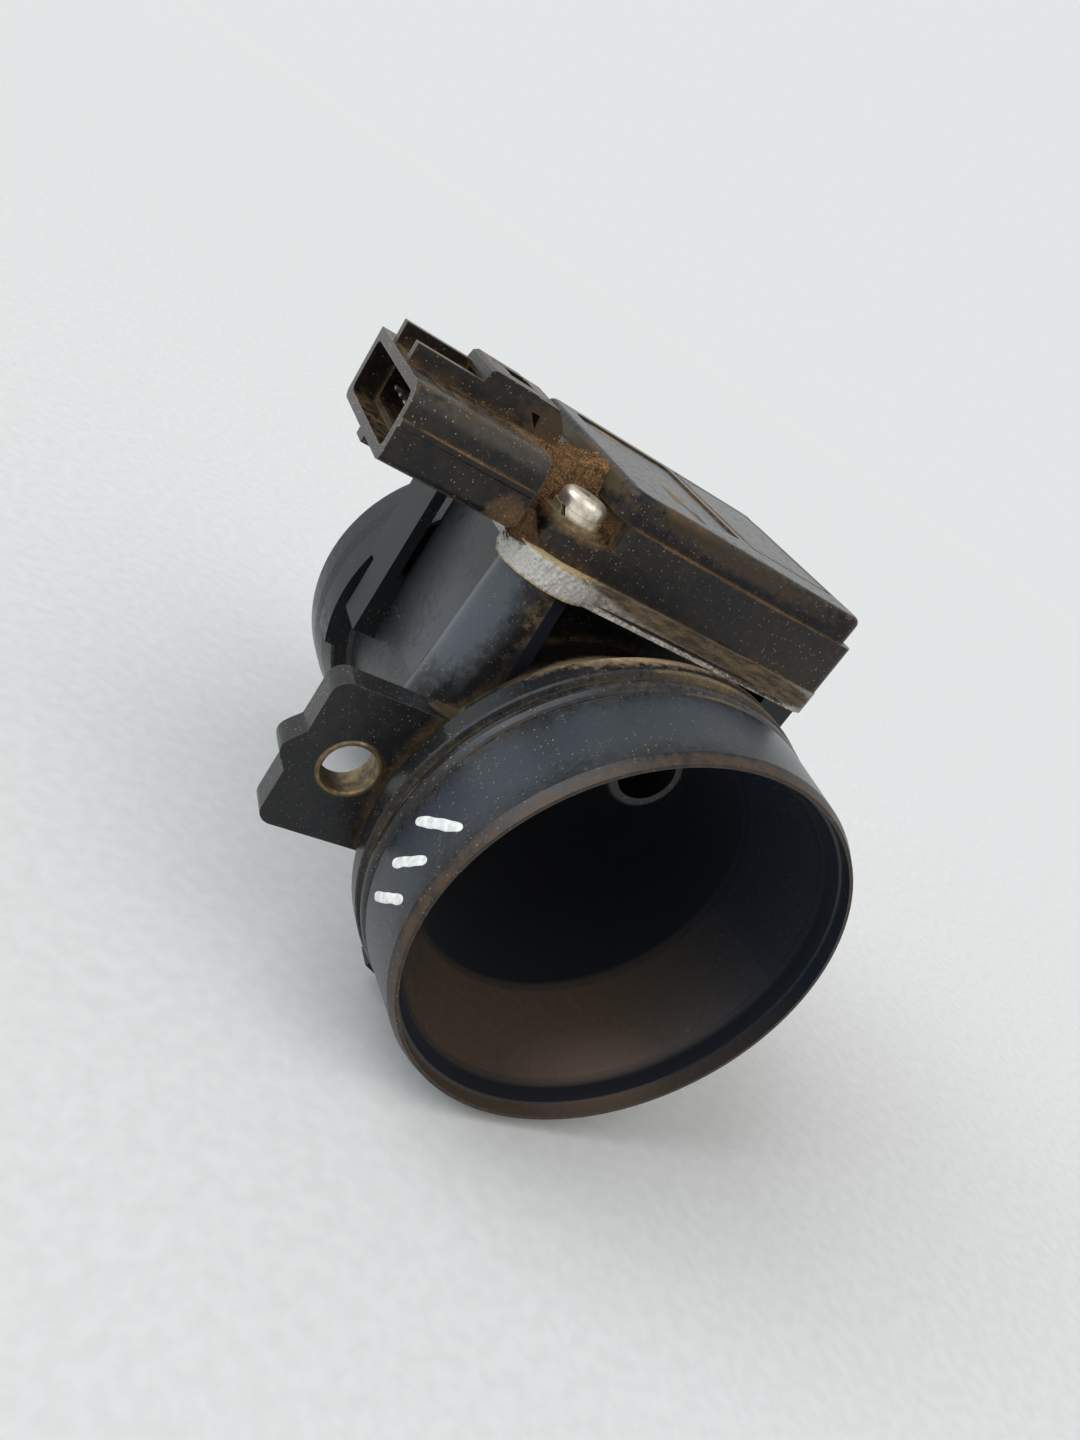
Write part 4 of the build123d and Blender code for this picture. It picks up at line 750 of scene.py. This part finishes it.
# marker paint: white, half matt, over the moulding in a thin film
paint_finish = even_finish("white marker paint", "#cfcfca", "#eceae4", 1.2, (0.45, 0.6), 0.0, 0.01)
DABS = (  # name, angle round the collar, distance behind the rim, length, width, lean, seed
    ("high", 170.0, 9.4, 11.5, 1.7, 38.0, 31),
    ("mid", 181.0, 9.2, 10.0, 1.6, 45.0, 32),
    ("low", 192.0, 9.6, 11.5, 1.7, 40.0, 33),
    ("far", 58.0, 9.6, 8.0, 1.4, 50.0, 34),
)
for word, *dab in DABS:
    paint_dab("paint_dab_" + word, *dab)

# ---------------------------------------------------------------- stage

floor_z = cad_box[0][2]
FLOOR_REACH = 30.0  # metres from the part to the floor's edges, too far to tell them from the backdrop
mesh = bpy.data.meshes.new("floor")
floor_corners = [(i * FLOOR_REACH, j * FLOOR_REACH, floor_z) for i, j in ((-1, -1), (1, -1), (1, 1), (-1, 1))]
mesh.from_pydata(floor_corners, [], [(0, 1, 2, 3)])
floor = bpy.data.objects.new("floor", mesh)
bpy.context.scene.collection.objects.link(floor)
# painted board: pale and matt, its speckle drawn at 3 mm so that it shows
board, tree, mm = new_finish("pale painted board")
speckle = add(tree, "TexNoise", ("Vector", mm), ("Scale", 1 / 3.0), ("Detail", 4.0))
close_finish(tree, two_tone(tree, speckle, "#e3e2df", "#e9e8e5", 0.35, 0.65), 0.9, 0.0, speckle, 0.01, 0.1)
mesh.materials.append(board)

world = bpy.data.worlds.new("studio")
bpy.context.scene.world = world
world.use_nodes = True
tree = world.node_tree
tree.nodes.clear()
soft = add(tree, "Background", (0.94, 0.97, 1.0, 1.0), 0.45)
# the backdrop has the colour of the lit floor far away; the camera, mirror-like surfaces
# and clear ones all see it
seen = add(tree, "Background", linear("#e3e6e6"), 1.0)
shows = add(tree, "LightPath", out="Is Camera Ray")
for ray in ("Is Glossy Ray", "Is Transmission Ray"):
    shows = add(tree, "Math", shows, add(tree, "LightPath", out=ray), operation="MAXIMUM")
both = add(tree, "MixShader", shows, soft, seen)
add(tree, "OutputWorld", both)


def lamp(name, place, spread, power, tint):
    """Far soft light that shines from place to the origin; spread is its angle in degrees."""
    light = bpy.data.lights.new(name, "SUN")
    light.energy = power
    light.angle = math.radians(spread)
    light.color = tint
    holder = bpy.data.objects.new(name, light)
    bpy.context.scene.collection.objects.link(holder)
    turn = Vector(place).to_track_quat("Z", "Y").to_matrix().to_4x4()
    holder.matrix_world = Matrix.Translation(place) @ turn


lamp("left soft light", (-0.8, 0.2, 0.8), 50.0, 1.5, (0.92, 0.96, 1.0))
lamp("low left soft light", (-1.0, 0.12, 0.12), 60.0, 1.6, (0.74, 0.87, 1.0))
lamp("front top soft light", (0.1, -0.75, 0.9), 60.0, 0.7, (1.0, 0.97, 0.93))

# ---- camera ----
FRAME_HIGH_PX, FOCAL_PX = 1440, 1084.0  # height of the frame and focal length, in pixels
FILM_HIGH = 36.0  # millimetres of film that the frame's height takes
# the camera stands at the eye, in millimetres; the frame's right and the view run along these ways
EYE = (-115.79, -112.01, 81.27)
RIGHT_WAY, FORWARD_WAY = (0.7895, -0.2857, 0.5432), (0.5179, 0.7851, -0.3397)

camera = bpy.data.cameras.new("camera")
camera.sensor_fit = "VERTICAL"
camera.sensor_height = FILM_HIGH
camera.lens = FOCAL_PX / FRAME_HIGH_PX * FILM_HIGH
camera.clip_start = 0.01
eye = bpy.data.objects.new("camera", camera)
bpy.context.scene.collection.objects.link(eye)
right = Vector(RIGHT_WAY).normalized()
back = -Vector(FORWARD_WAY).normalized()
up = back.cross(right).normalized()
turn = Matrix((right, up, back)).transposed().to_4x4()
eye.matrix_world = Matrix.Translation(Vector(EYE) * MM) @ turn
bpy.context.scene.camera = eye

bpy.context.scene.view_settings.view_transform = "Standard"
